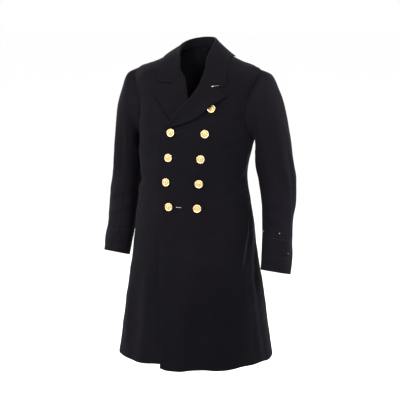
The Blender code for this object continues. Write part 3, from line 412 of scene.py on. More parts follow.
# A button's face as share of its radius and height there, and its edge and back as the same
BUTTON_FACE = ((0.0, 0.0042), (0.30, 0.0041), (0.52, 0.0034), (0.78, 0.0033), (0.86, 0.0041),
               (0.93, 0.0043), (1.0, 0.0038))
BUTTON_BACK = ((1.0, 0.0026), (0.99, 0.0019), (0.9, 0.0014), (0.6, 0.0012), (0.3, 0.0012), (0.02, 0.0012))
PETAL_HEIGHT = 0.00032
CORD_HEIGHT = 0.00016
BUTTON_SEAT = 0.0015

# A worked buttonhole's oval and its cord
HOLE_HALF_LENGTH = 0.0125
HOLE_HALF_WIDTH = 0.0015
HOLE_CORD_HEIGHT = 0.0013
HOLE_CORD_RADIUS = 0.00055


def smooth(knots, values, at):
    """Monotone cubic curve through values at rising knots, held level beyond the ends."""
    knots = np.asarray(knots, float)
    values = np.asarray(values, float)
    at = np.clip(np.asarray(at, float), knots[0], knots[-1])
    step = np.diff(knots)
    rise = np.diff(values) / step
    slope = np.zeros_like(values)
    same_way = rise[:-1] * rise[1:] > 0
    before = 2 * step[1:] + step[:-1]
    after = step[1:] + 2 * step[:-1]
    with np.errstate(divide="ignore", invalid="ignore"):
        mean = (before + after) / (before / rise[:-1] + after / rise[1:])
    slope[1:-1] = np.where(same_way, mean, 0.0)
    slope[0] = rise[0]
    slope[-1] = rise[-1]
    i = np.clip(np.searchsorted(knots, at, side="right") - 1, 0, len(step) - 1)
    t = (at - knots[i]) / step[i]
    return ((2 * t**3 - 3 * t**2 + 1) * values[i] + (t**3 - 2 * t**2 + t) * step[i] * slope[i]
            + (3 * t**2 - 2 * t**3) * values[i + 1] + (t**3 - t**2) * step[i] * slope[i + 1])


def fade(value):
    """Soft step from 0 to 1: three times the square less twice the cube."""
    value = np.clip(value, 0.0, 1.0)
    return value * value * (3 - 2 * value)


def bell(value):
    """1 at zero, falling off to both sides: e to the power of minus the square."""
    return np.exp(-value**2)


def wrapped(angle):
    """The same angle, between -180 and 180."""
    return (angle + 180.0) % 360.0 - 180.0


def unit(vectors):
    """Vectors brought to length one."""
    return vectors / np.maximum(np.linalg.norm(vectors, axis=-1, keepdims=True), 1e-12)


BODY_TABLE = np.array(BODY_RINGS, float)


def body_value(name, level):
    """A column of the body table at any level."""
    return smooth(BODY_TABLE[:, 0], BODY_TABLE[:, BODY_COLUMNS.index(name)], level)


def fold_height(angle, level):
    """Sum of the skirt's folds: each a bell across the angle that grows from its top down."""
    turned = wrapped(angle)
    total = np.zeros(np.broadcast(angle, level).shape)
    for top_angle, hem_angle, top_level, half_width, height in SKIRT_FOLDS:
        down = np.clip(1 - level / top_level, 0.0, 1.0)
        middle = top_angle + (hem_angle - top_angle) * fade(down / FOLD_TURNED_BY)
        total = total + height * fade(down / FOLD_FULL_BY) * bell((turned - middle) / half_width)
    return total


def crease_sum(table, turn, run, radius):
    """Sum of the table's creases: each a bell of the distance from its line, faded at both ends.

    turn is in degrees round the form and run in metres along it, and radius makes a turn a length.
    The bell is wider by the last column on the side where the signed distance is positive.
    """
    total = np.zeros(np.broadcast(turn, run).shape)
    scale = math.radians(radius)
    for start_turn, start_run, end_turn, end_run, half_width, height, lean in table:
        across = wrapped(end_turn - start_turn) * scale
        down = end_run - start_run
        length = math.hypot(across, down)
        here = wrapped(turn - start_turn) * scale
        there = run - start_run
        share = (here * across + there * down) / length**2
        off = (here * down - there * across) / length
        width = np.where(off > 0, half_width * lean, half_width)
        ends = fade(share / CREASE_END) * fade((1 - share) / CREASE_END)
        total = total + height * bell(off / width) * ends
    return total


def plain_body(angle, level):
    """Rings of the body table squared by their own power, with the skirt's folds and the hem's lift."""
    angle, level = np.broadcast_arrays(np.asarray(angle, float), np.asarray(level, float))
    turn = np.radians(angle)
    power = body_value("squareness", level)
    size = (np.abs(np.sin(turn))**power + np.abs(np.cos(turn))**power)**(-1 / power)
    across = np.sin(turn) * size
    ahead = np.cos(turn) * size
    side_y = body_value("side_y", level)
    side_z = body_value("side_z", level)
    is_front = ahead > 0
    depth = np.where(is_front, side_y - body_value("front_y", level), body_value("back_y", level) - side_y)
    drop = np.where(is_front, body_value("front_z", level), body_value("back_z", level)) - side_z
    out = np.stack([body_value("half_width", level) * across, -depth * ahead], axis=-1)
    out = out + unit(out) * fold_height(angle, level)[..., None]
    lift = HEM_LIFT * fade(out[..., 0] / HEM_LIFT_X) * fade(1 - level / HEM_LIFT_LEVEL)
    return np.stack([body_value("centre_x", level) + out[..., 0], side_y + out[..., 1],
                     side_z + drop * np.cos(turn)**2 + lift], axis=-1)


def body_normal(angle, level):
    """Outward direction: the cross product of a small step round and a small step up."""
    round_step, up_step = 0.4, 0.001
    level = np.clip(level, up_step, NECK_LEVEL - up_step)
    round_it = plain_body(angle + round_step, level) - plain_body(angle - round_step, level)
    up_it = plain_body(angle, level + up_step) - plain_body(angle, level - up_step)
    return unit(np.cross(round_it, up_it))


def unevenness(turn, run, radius):
    """Small waves of worn cloth: crossing sines of unlike lengths, so that they never line up."""
    across = np.sin(np.radians(turn)) * radius * 1.4
    ahead = np.cos(np.radians(turn)) * radius * 1.4
    first = np.sin(across * 61 + run * 23 + 0.7) * np.sin(run * 47 - ahead * 43)
    second = np.sin(across * 87 - run * 71 + 2.1 + ahead * 31)
    third = np.sin(ahead * 59 + run * 139 + 1.3)
    return WAVE_HEIGHTS[0] * first + WAVE_HEIGHTS[1] * second + WAVE_HEIGHTS[2] * third


def shoulder_fill(angle, level):
    """Padding that fills the form out to the armhole's upper edge: a bell of the way from the edge."""
    half = (SHOULDER_LEVEL - ARMPIT_LEVEL) / 2
    up = (level - ARMPIT_LEVEL - half) / half
    away = np.hypot((np.abs(wrapped(angle)) - 90.0) / ARMHOLE_HALF_ANGLE, up) - 1
    return FILL_HEIGHT * bell(away / FILL_REACH) * fade(up / 0.8 - 0.1)


def crease_height(angle, level):
    """Creases, small waves and shoulder padding of the body form, faded out by the neck."""
    sizes = bpy.context.scene.coat_sizes
    below_neck = fade((NECK_LEVEL - NECK_CALM - level) / NECK_CALM_RUN)
    lined = crease_sum(BODY_CREASES, angle, level, BODY_TURN_RADIUS)
    worn = sizes.crease_share * (lined + unevenness(angle, level, BODY_TURN_RADIUS))
    return below_neck * (worn + shoulder_fill(angle, level))


def body_place(angle, level, lifted):
    """Points of the creased body form, moved out by a distance."""
    total = lifted + crease_height(angle, level)
    return plain_body(angle, level) + body_normal(angle, level) * np.asarray(total)[..., None]


def angle_at_x(x, level):
    """Angle on the front where a level's ring has the given x."""
    from_middle = x - body_value("centre_x", level)
    share = np.clip(np.abs(from_middle) / body_value("half_width", level), 0, 0.999)
    power = body_value("squareness", level)
    ahead = (1 - share**power)**(1 / power)
    return np.degrees(np.arctan2(share, ahead)) * np.sign(from_middle)


def from_front(x, z):
    """Angle and level of the front of the form behind points x, z seen from the front, found by
    moving the level on by what is missing in height until it settles."""
    x = np.asarray(x, float)
    z = np.asarray(z, float)
    level = np.clip(z - BODY_TABLE[0, BODY_COLUMNS.index("front_z")], 0.0, NECK_LEVEL)
    for _ in range(80):
        angle = angle_at_x(x, level)
        level = np.clip(level + z - plain_body(angle, level)[..., 2], 0.0, NECK_LEVEL)
    return angle_at_x(x, level), level


EDGE_TABLES = {}


def front_edge(side):
    """The table of a forepart's front edge."""
    return LEFT_EDGE if side > 0 else RIGHT_EDGE


def edge_angles(side, level):
    """Angle of a forepart's front edge at each level, up to the neck."""
    if side not in EDGE_TABLES:
        points = np.array(front_edge(side))[::-1]
        angle, height = from_front(points[:, 0], points[:, 1])
        height[0] = WAIST_LEVEL
        EDGE_TABLES[side] = (np.append(height, NECK_LEVEL), np.append(angle, side * NECK_FRONT_ANGLE))
    return smooth(*EDGE_TABLES[side], level)


def front_shift(side, angle, level):
    """How far a front piece lies out of the form where the two fronts lap over each other."""
    point = plain_body(angle, level)
    ahead = np.cos(np.radians(angle)) > 0
    lap = LAP_SHIFT + (SKIRT_LAP_SHIFT - LAP_SHIFT) * fade((WAIST_LEVEL - level) / SKIRT_LAP_RUN)
    if side < 0:
        return -lap * fade((LAP_EDGE_X + point[..., 0]) / LAP_FADE) * ahead
    shift = lap * fade((LAP_EDGE_X - point[..., 0]) / LAP_FADE)
    if np.any(level > WAIST_LEVEL):
        from_edge = point[..., 0] - plain_body(edge_angles(1.0, level), level)[..., 0]
        in_v = fade((point[..., 2] - V_BOTTOM_Z) / V_FADE) * fade((V_TOP_Z - point[..., 2]) / V_FADE)
        shift = shift + V_LIFT * (1 - fade(from_edge / V_LIFT_WIDTH)) * in_v
    return shift * ahead


def vent_shift(side, angle, level):
    """How far a back piece lies out of the form where the left half laps over the right."""
    from_middle = np.abs(plain_body(angle, level)[..., 0])
    over_vent = fade((VENT_LEVEL + VENT_LAP_ABOVE - level) / VENT_LAP_RUN)
    return side * LAP_SHIFT * fade((VENT_LAP_X - from_middle) / VENT_LAP_FADE) * over_vent


def front_place(side, angle, level, height):
    """Points over a forepart or skirt front at a height over its cloth's middle."""
    return body_place(angle, level, front_shift(side, angle, level) + height)


def hem_levels(side, angle, level):
    """Levels of a piece's rows, raised near the hem to follow the hem line."""
    table = np.array(LEFT_HEM if side > 0 else RIGHT_HEM)
    line = smooth(table[:, 0], table[:, 1], angle * side)
    return level + line * fade(1 - level / HEM_REACH)


def armhole_ring(step):
    """Angle and level of the armhole's edge at a step round it, from the shoulder forwards."""
    turn = 2 * math.pi * np.asarray(step, float) / ARM_STEPS
    middle = (ARMPIT_LEVEL + SHOULDER_LEVEL) / 2
    half = (SHOULDER_LEVEL - ARMPIT_LEVEL) / 2
    return 90.0 - ARMHOLE_HALF_ANGLE * np.sin(turn), middle + half * np.cos(turn)


def armhole_edge(side, step):
    """Armhole's edge in space with its outward direction and its direction into the hole."""
    angle, level = armhole_ring(step)
    place = plain_body(side * angle, level)
    out = body_normal(side * angle, level)
    ahead_angle, ahead_level = armhole_ring(np.asarray(step) + 0.2)
    back_angle, back_level = armhole_ring(np.asarray(step) - 0.2)
    along = plain_body(side * ahead_angle, ahead_level) - plain_body(side * back_angle, back_level)
    place = place + out * crease_height(side * angle, level)[..., None]
    return place, out, unit(np.cross(out, unit(along))) * side


def back_seam(level):
    """Angle of the seam between back and side, from the hem up to the armhole."""
    hole_angle, hole_level = armhole_ring(SIDE_BACK_STEP)
    return smooth((0.0, 0.25, WAIST_LEVEL, 0.60, 0.68, hole_level),
                  (155.0, 157.0, 160.0, 156.0, 137.0, hole_angle), level)


def spread(count, crowd=0.35):
    """Shares from 0 to 1 that lie closer together towards both ends."""
    even = np.linspace(0, 1, count)
    return even - crowd * np.sin(2 * np.pi * even) / (2 * np.pi)


def edge_view(grid, edge):
    """The grid seen with the named edge as its first row."""
    return {"low": grid, "high": grid[::-1], "start": grid.swapaxes(0, 1),
            "end": grid.swapaxes(0, 1)[::-1]}[edge]


def inset(points, edges, distance):
    """Draw the named edges of a grid of points in, square to the edge."""
    points = points.copy()
    for edge in edges:
        view = edge_view(points, edge)
        along = unit(np.gradient(view[0], axis=0))
        inward = view[2] - view[0]
        inward = inward - along * np.sum(inward * along, axis=-1, keepdims=True)
        view[0] += unit(inward) * distance
    return points


def grid_lengths(points):
    """Distances in metres along the rows and along the columns of a grid."""
    across = np.cumsum(np.linalg.norm(np.diff(points, axis=1), axis=-1), axis=1)
    along = np.cumsum(np.linalg.norm(np.diff(points, axis=0), axis=-1), axis=0)
    return np.pad(across, ((0, 0), (1, 0))), np.pad(along, ((1, 0), (0, 0)))


def edge_distance(across, along, edges):
    """Distance of each grid point from the nearest of the named edges, and its place along it."""
    nearest = np.full(across.shape, 9.0)
    run = np.zeros(across.shape)
    for edge in edges:
        off = {"low": along, "high": along[-1:] - along, "start": across,
               "end": across[:, -1:] - across}[edge]
        run = np.where(off < nearest, across if edge in ("low", "high") else along, run)
        nearest = np.minimum(nearest, off)
    return nearest, run


def grid_normal(points, turned_over):
    """Outward direction of a grid of points."""
    normal = unit(np.cross(np.gradient(points, axis=1), np.gradient(points, axis=0)))
    return -normal if turned_over else normal


def finished(name, mesh, material):
    """An object for a mesh, in its material and slot, that stays with the coat."""
    mesh.materials.append(finish(material))
    piece = bpy.data.objects.new(name, mesh)
    bpy.context.scene.collection.objects.link(piece)
    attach(piece, "root")
    return piece


def grid_mesh(name, points, turned_over, across, along):
    """A grid of points as a mesh of quads, with a map of metres across and along."""
    rows, columns = points.shape[:2]
    index = np.arange(rows * columns).reshape(rows, columns)
    corners = np.stack([index[:-1, :-1], index[:-1, 1:], index[1:, 1:], index[1:, :-1]], axis=-1)
    corners = corners.reshape(-1, 4)
    if turned_over:
        corners = corners[:, ::-1]
    mesh = bpy.data.meshes.new(name)
    mesh.from_pydata(points.reshape(-1, 3), [], corners)
    mesh.shade_smooth()
    loops = corners.ravel()
    places = np.stack([across.ravel()[loops], along.ravel()[loops]], axis=1)
    mesh.uv_layers.new(name="metres").data.foreach_set("uv", places.ravel())
    return mesh


def grid_area(points):
    """Area of a grid of points: half the cross product of each square's two diagonals."""
    one_way = points[1:, 1:] - points[:-1, :-1]
    other_way = points[1:, :-1] - points[:-1, 1:]
    return float(np.linalg.norm(np.cross(one_way, other_way), axis=-1).sum() / 2)


def cloth_piece(name, points, turned_over, seams=(), free=(), material="wool"):
    """A grid of points as a sheet of cloth with its wall, sunk along its sewn edges.

    The sink and the swell beside it are bells of the distance from the seam.  The map holds metres
    across and along, and attributes hold the distances from the nearest seam and finished edge.
    """
    sizes = bpy.context.scene.coat_sizes
    across, along = grid_lengths(points)
    to_seam, seam_run = edge_distance(across, along, seams)
    to_edge, edge_run = edge_distance(across, along, free)
    sink = sizes.seam_depth * bell(to_seam / SINK_WIDTH)
    swell = sizes.seam_depth * SWELL_SHARE * bell((to_seam - SWELL_OFF) / SWELL_WIDTH)
    points = points + grid_normal(points, turned_over) * (swell - sink)[..., None]
    mesh = grid_mesh(name, points, turned_over, across, along)
    run = np.where(to_edge < EDGE_ZONE, edge_run, seam_run)
    for word, values in (("seam", to_seam), ("edge", to_edge), ("run", run)):
        mesh.attributes.new(word, "FLOAT", "POINT").data.foreach_set("value", values.ravel())
    piece = finished(name, mesh, material)
    wall = piece.modifiers.new("cloth", "SOLIDIFY")
    wall.thickness = sizes.cloth
    wall.offset = 0.0
    wall.use_even_offset = False
    soft = piece.modifiers.new("soft_edge", "BEVEL")
    soft.width = sizes.cloth * 0.20
    soft.segments = 2
    soft.limit_method = "ANGLE"
    soft.angle_limit = math.radians(60)
    grid_area(points)
    return piece


def side_word(side):
    """Wearer's left or right."""
    return "left" if side > 0 else "right"


def rows_to_neck(arm_step):
    """Levels of the rows from the waist seam to the armhole, along it, and from there to the neck."""
    low = np.linspace(WAIST_LEVEL, armhole_ring(SIDE_FRONT_STEP)[1], WAIST_ROWS)[:-1]
    top = np.linspace(SHOULDER_LEVEL, NECK_LEVEL, SHOULDER_ROWS)[1:]
    return low, armhole_ring(arm_step)[1], top


def patch(first, last, share):
    """Angles of a patch: each row goes from its first to its last angle by the columns' shares."""
    return first[:, None] + (last - first)[:, None] * share


def forepart(side):
    """Patch of the body form from the front edge to side seam, armhole and shoulder seam."""
    arm_step = np.linspace(SIDE_FRONT_STEP, 0, ARMHOLE_ROWS)
    low, arm, top = rows_to_neck(arm_step)
    level = np.concatenate([low, arm, top])
    seam, hole = armhole_ring(SIDE_FRONT_STEP)[0], armhole_ring(arm_step)[0]
    outer = side * np.concatenate([np.full(len(low), seam), hole, np.full(len(top), 90.0)])
    angle = patch(edge_angles(side, level), outer, spread(FRONT_COLUMNS))
    rows = np.repeat(level[:, None], FRONT_COLUMNS, axis=1)
    points = front_place(side, angle, rows, 0.0)
    points = inset(points, ("low", "high", "start", "end"), SEAM_GAP / 2)
    place, _, inward = armhole_edge(side, arm_step)
    points[len(low):len(low) + len(arm), -1] = place - inward * SEAM_GAP / 2
    name = side_word(side) + "_forepart"
    piece = cloth_piece("coat_" + name, points, side < 0, ("low", "high", "end"), ("start",))
    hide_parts(name)


def sidebody(side):
    """Side piece under the arm, between forepart and back."""
    step = np.linspace(SIDE_FRONT_STEP, SIDE_BACK_STEP, SIDE_COLUMNS)
    hole_angle, hole_level = armhole_ring(step)
    share = np.linspace(0, 1, SIDE_ROWS)
    level = WAIST_LEVEL + (hole_level - WAIST_LEVEL) * share[:, None]
    first = hole_angle[0]
    last = back_seam(level[:, -1])
    along = (hole_angle - first) / (hole_angle[-1] - first)
    angle = side * (first + (last[:, None] - first) * along)
    points = inset(body_place(angle, level, 0.0), ("low", "start", "end"), SEAM_GAP / 2)
    points[-1] -= armhole_edge(side, step)[2] * SEAM_GAP / 2
    name = side_word(side) + "_sidebody"
    piece = cloth_piece("coat_" + name, points, side < 0, ("low", "high", "start", "end"))
    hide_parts(name)


def back(side):
    """Half of the back, in one length from the neck to the hem, with the vent below the waist."""
    arm_step = np.linspace(SIDE_BACK_STEP, ARM_STEPS, ARMHOLE_ROWS)
    low, arm, top = rows_to_neck(arm_step)
    below = np.concatenate([np.linspace(0.0, WAIST_LEVEL, SKIRT_ROWS)[:-1], low])
    level = np.concatenate([below, arm, top])
    outer = np.concatenate([back_seam(below), armhole_ring(arm_step)[0], np.full(len(top), 90.0)])
    middle = 180.0 + VENT_LAP_ANGLE * fade((VENT_LEVEL - level) / VENT_LAP_FADE)
    angle = side * patch(outer, middle, spread(BACK_COLUMNS))
    rows = hem_levels(side, angle, np.repeat(level[:, None], BACK_COLUMNS, axis=1))
    points = body_place(angle, rows, vent_shift(side, angle, rows))
    points = inset(points, ("high", "start", "end"), SEAM_GAP / 2)
    place, _, inward = armhole_edge(side, arm_step)
    points[len(below):len(below) + len(arm), 0] = place - inward * SEAM_GAP / 2
    name = side_word(side) + "_back"
    piece = cloth_piece("coat_" + name, points, side < 0, ("high", "start", "end"), ("low",))
    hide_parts(name)


def back_allowances():
    """Seam allowances pressed open behind the centre back seam, as one strip down to the vent."""
    level = np.linspace(VENT_LEVEL + 0.02, NECK_LEVEL - 0.012, 120)
    angle = np.linspace(180.0 - ALLOWANCE_ANGLE, 180.0 + ALLOWANCE_ANGLE, 9)
    angle, level = np.meshgrid(angle, level)
    behind = -(bpy.context.scene.coat_sizes.cloth + ALLOWANCE_DEPTH)
    over_vent = fade((VENT_LEVEL + VENT_LAP_ABOVE - level) / VENT_LAP_RUN)
    points = body_place(angle, level, behind - LAP_SHIFT * over_vent)
    cloth_piece("coat_back_allowances", points, False, (), ("low", "high", "start", "end"))


def skirt(side):
    """Skirt from the front edge round to the back, sewn to the waist seam."""
    level = np.linspace(0.0, WAIST_LEVEL, SKIRT_ROWS)
    edge = LEFT_SKIRT_EDGE_X if side > 0 else RIGHT_SKIRT_EDGE_X
    front = angle_at_x(smooth((0.0, WAIST_LEVEL), edge[::-1], level), level)
    angle = patch(front, side * back_seam(level), spread(SKIRT_COLUMNS, 0.2))
    rows = hem_levels(side, angle, np.repeat(level[:, None], SKIRT_COLUMNS, axis=1))
    points = inset(front_place(side, angle, rows, 0.0), ("high", "end"), SEAM_GAP / 2)
    name = side_word(side) + "_skirt"
    piece = cloth_piece("coat_" + name, points, side < 0, ("high", "end"), ("low", "start"))
    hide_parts(name)


def sleeve_rings(side, turns):
    """Rings of a sleeve: each is a middle, plus cosine and sine of the turn times its two half axes.

    The first two follow the armhole's own edge.
    """
    table = LEFT_SLEEVE_RINGS if side > 0 else RIGHT_SLEEVE_RINGS
    wall = bpy.context.scene.coat_sizes.cad_cloth
    hole, out, inward = armhole_edge(side, turns * ARM_STEPS / 360.0)
    turn = np.radians(turns)
    head = np.maximum(np.cos(turn), 0.0)[:, None]**3
    seated = hole + inward * (wall / 2 + SEAM_GAP / 2 + SLEEVE_HEAD_EASE * head)
    over = fade((np.cos(turn) + UNDER_ARM) / UNDER_ARM_FADE)[:, None]
    flush = hole + inward * HEAD_GAP
    rings = []
    for outer_x, outer_z, inner_x, inner_z, centre_y, half_depth, front_rise in table:
        middle = np.array([(outer_x + inner_x) / 2, centre_y, (outer_z + inner_z) / 2])
        arm = np.array([(outer_x - inner_x) / 2, 0.0, (outer_z - inner_z) / 2])
        ahead = np.array([0.0, -half_depth, front_rise])
        rings.append(middle + np.cos(turn)[:, None] * arm + np.sin(turn)[:, None] * ahead)
    puffed = flush + (rings[0] - flush) * HEAD_SHARE + out * HEAD_RISE
    return np.array([flush * over + (seated - out * wall / 2) * (1 - over),
                     puffed * over + (seated + out * wall * 0.9) * (1 - over)] + rings)


def sleeve_grid(side, turns, stations):
    """Tube through the sleeve's rings, moved out by its creases and small waves.

    Distances down it come from whole rings, so that both pieces of a sleeve share them.
    """
    creases = LEFT_SLEEVE_CREASES if side > 0 else RIGHT_SLEEVE_CREASES
    rings = sleeve_rings(side, turns)
    whole = sleeve_rings(side, np.arange(0.0, 360.0, 10.0))
    length = np.linalg.norm(np.diff(whole, axis=0), axis=-1).mean(axis=1)
    knots = np.concatenate([[0.0], np.cumsum(length)])
    at = smooth(np.arange(len(knots)), knots, stations)
    flat = rings.reshape(len(knots), -1)
    columns = [smooth(knots, flat[:, k], at) for k in range(flat.shape[1])]
    points = np.stack(columns, axis=1).reshape(len(at), len(turns), 3)
    run = at[:, None] - knots[1]
    lined = crease_sum(creases, turns[None, :], run, SLEEVE_TURN_RADIUS)
    lined = lined + SLEEVE_WAVE_SHARE * unevenness(turns[None, :], run + 0.31, SLEEVE_TURN_RADIUS)
    near_cuff = fade((knots[-1] - at[:, None]) / CUFF_CALM_RUN)
    lined = lined * fade(run / HEAD_CALM_RUN) * (CUFF_CALM_SHARE + (1 - CUFF_CALM_SHARE) * near_cuff)
    lined = lined * bpy.context.scene.coat_sizes.crease_share
    return points + grid_normal(points, side < 0) * lined[..., None]


def sleeves(side):
    """Top sleeve and under sleeve of one arm, two bands of the same tube."""
    stations = np.concatenate([[0.0], np.linspace(1.0, LAST_STATION, SLEEVE_ROWS)])
    fore = 360.0 * FOREARM_STEP / ARM_STEPS
    hind = 360.0 * HINDARM_STEP / ARM_STEPS
    over = hind + (fore + 360.0 - hind) * spread(TOP_SLEEVE_COLUMNS, 0.3)
    under = fore + (hind - fore) * spread(UNDER_SLEEVE_COLUMNS, 0.3)
    for word, turns in (("top_sleeve", over), ("under_sleeve", under)):
        points = inset(sleeve_grid(side, turns, stations), ("start", "end"), SEAM_GAP / 2)
        name = f"{side_word(side)}_{word}"
        # The sleeves take a lighter copy of the wool, painted light on the sides that the body shades
        piece = cloth_piece("coat_" + name, points, side < 0, ("start", "end"), ("high",), "sleeve_wool_painted_light")
        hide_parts(name)


def roll_line(side, share):
    """Angle and level of the roll line, which is the forepart's own edge, from the gorge down.

    Levels of evenly spaced heights are found by halving, and shares of the length between them.
    """
    last_z = LEFT_LAPEL_END_Z if side > 0 else RIGHT_LAPEL_END_Z
    fine_z = np.linspace(front_edge(side)[1][1], last_z, 60)
    low, high = np.full(60, WAIST_LEVEL), np.full(60, NECK_LEVEL)
    for _ in range(40):
        middle = (low + high) / 2
        above = plain_body(edge_angles(side, middle), middle)[:, 2] > fine_z
        low, high = np.where(above, low, middle), np.where(above, middle, high)
    levels = (low + high) / 2
    places = plain_body(edge_angles(side, levels), levels)
    length = np.concatenate([[0.0], np.cumsum(np.linalg.norm(np.diff(places, axis=0), axis=1))])
    level = np.interp(np.asarray(share) * length[-1], length, levels)
    return edge_angles(side, level), level


def nearest_on_body(points, angle, level):
    """Angle and level of the body form's point nearest to each of the given points: from a guess,
    eight steps that each solve for the shift along the form's two directions there."""
    angle = np.array(angle, float)
    level = np.array(level, float)
    for _ in range(8):
        round_it = (plain_body(angle + 0.2, level) - plain_body(angle - 0.2, level)) / 0.4
        up_it = (plain_body(angle, level + 0.0005) - plain_body(angle, level - 0.0005)) / 0.001
        away = points - plain_body(angle, level)
        rr = np.sum(round_it * round_it, axis=-1)
        uu = np.sum(up_it * up_it, axis=-1)
        ru = np.sum(round_it * up_it, axis=-1)
        ra = np.sum(round_it * away, axis=-1)
        ua = np.sum(up_it * away, axis=-1)
        whole = np.maximum(rr * uu - ru * ru, 1e-12)
        angle = angle + np.clip((ra * uu - ua * ru) / whole, -6.0, 6.0)
        rise = np.clip((ua * rr - ra * ru) / whole, -0.02, 0.02)
        level = np.clip(level + rise, 0.0, NECK_LEVEL - 0.0006)
    return angle, level


def front_frame(side, angle, level):
    """Point, outward normal and off-the-edge direction at places on a forepart's roll line."""
    normal = body_normal(angle, level)
    point = front_place(side, angle, level, 0.0)
    high = np.minimum(level + 0.002, NECK_LEVEL - 0.001)
    low = high - 0.004
    along = plain_body(edge_angles(side, high), high) - plain_body(edge_angles(side, low), low)
    off = unit(np.cross(normal, along))
    inward = plain_body(angle + side, level) - plain_body(angle, level)
    off = off * -np.sign(np.sum(off * inward, axis=-1, keepdims=True))
    return point, normal, off


def gorge_line(side, end, across):
    """Seam of collar and lapel out to the notch, then a leaf's free edge on to its end."""
    start = plain_body(*roll_line(side, 0.0))[[0, 2]]
    notch = np.array(LEFT_NOTCH if side > 0 else RIGHT_NOTCH)
    along_seam = np.interp(across, (0.0, 0.10, 0.28, 0.5), (0.0, 0.2, 0.56, 1.0))[:, None]
    along_free = np.clip((across - 0.5) / 0.5, 0.0, 1.0)[:, None]
    return start + (notch - start) * along_seam + (end - notch) * along_free


def leaf_height(share, radius):
    """Height of a turned-back leaf over the forepart, from the roll line to its free edge."""
    return LAPEL_CLEARANCE + (2 * radius - LAPEL_CLEARANCE) * (1 - fade(share * 2.2))


def lapel_leaf(side, roll_angle, roll_level, share, radius):
    """Leaf that lies on the forepart, spanned between the roll line and the free edge.  It stands up
    towards its free edge, and the left one is raised in a bell over the topmost button."""
    roll = plain_body(roll_angle, roll_level)[:, [0, 2]]
    free = np.array(LEFT_LAPEL_EDGE if side > 0 else RIGHT_LAPEL_EDGE)
    outer = np.stack([smooth(np.linspace(0, 1, len(free)), free[:, k], share) for k in range(2)], axis=1)
    across = np.concatenate([np.linspace(0.04, 0.5, 15), np.linspace(0.5, 1.0, 17)[1:]])
    places = roll[:, None] + (outer - roll)[:, None] * across[:, None]
    pull = (1 - fade(share / GORGE_REACH))[:, None, None]
    places = places + (gorge_line(side, free[0], across) - places[0]) * pull
    height = leaf_height(across, radius[:, None]) + EDGE_STAND * fade((across - 0.6) / 0.4)
    angle, level = from_front(places[..., 0], places[..., 1])
    if side > 0:
        button_z, button_x, _ = BUTTON_ROWS[-1]
        button = plain_body(*from_front(button_x, button_z))
        near = np.linalg.norm(plain_body(angle, level) - button, axis=-1)
        height = height + BUTTON_UNDER_LAPEL * bell(near / BUTTON_SWELL)
    return front_place(side, angle, level, height)


def lapel(side):
    """Lapel turned back along the roll line: half a circle round the roll, then its leaf."""
    share = np.linspace(0, 1, LAPEL_ROWS)
    roll_angle, roll_level = roll_line(side, share)
    radius = np.full(LAPEL_ROWS, ROLL_RADIUS)
    if side < 0:
        pressed = fade((share - PRESSED_START) / PRESSED_RUN)
        radius = ROLL_RADIUS + (LAPEL_CLEARANCE / 2 - ROLL_RADIUS) * pressed
    leaf = lapel_leaf(side, roll_angle, roll_level, share, radius)
    point, normal, off = front_frame(side, roll_angle, roll_level)
    curl = []
    for turn in np.radians(np.linspace(0.0, 170.0, 9)):
        reach = radius * math.sin(turn) + SEAM_GAP
        curl.append(point + off * reach[:, None] + normal * (radius * (1 - math.cos(turn)))[:, None])
    points = np.concatenate([np.stack(curl, axis=1), leaf], axis=1)
    points = inset(inset(points, ("low",), SEAM_GAP), ("start",), SEAM_GAP / 2)
    name = side_word(side) + "_lapel"
    piece = cloth_piece("coat_" + name, points, side > 0, (), ("end", "low", "high"))
    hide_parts(name)


def collar_column(name, last, share):
    """A column of the collar's stations at any share, with its value at the front end."""
    knots = np.append([row[0] for row in COLLAR_STATIONS], 1.0)
    values = [row[COLLAR_COLUMNS.index(name)] for row in COLLAR_STATIONS]
    return smooth(knots, np.append(values, last), share)


def collar_seam(side, share):
    """Angle and level of the collar's seam: round the neck, then down the front edge to the roll line."""
    end_level = roll_line(side, 0.0)[1]
    down = np.clip((share - NECK_CORNER_SHARE) / (1 - NECK_CORNER_SHARE), 0.0, 1.0)
    level = NECK_LEVEL + (end_level - NECK_LEVEL) * down
    round_neck = side * collar_column("seam_angle", NECK_FRONT_ANGLE, share)
    return np.where(down > 0, edge_angles(side, level), round_neck), level


def collar_fold(side, share, end):
    """Points of the fold line, tilted a little up towards the wearer's left at the back."""
    fold = np.stack([side * collar_column("fold_x", side * end[0], share),
                     collar_column("fold_y", end[1], share),
                     collar_column("fold_z", end[2], share)], axis=1)
    fold[:, 2] += COLLAR_TILT * fold[:, 0] * (1 - fade((share - 0.55) / 0.4))
    return fold


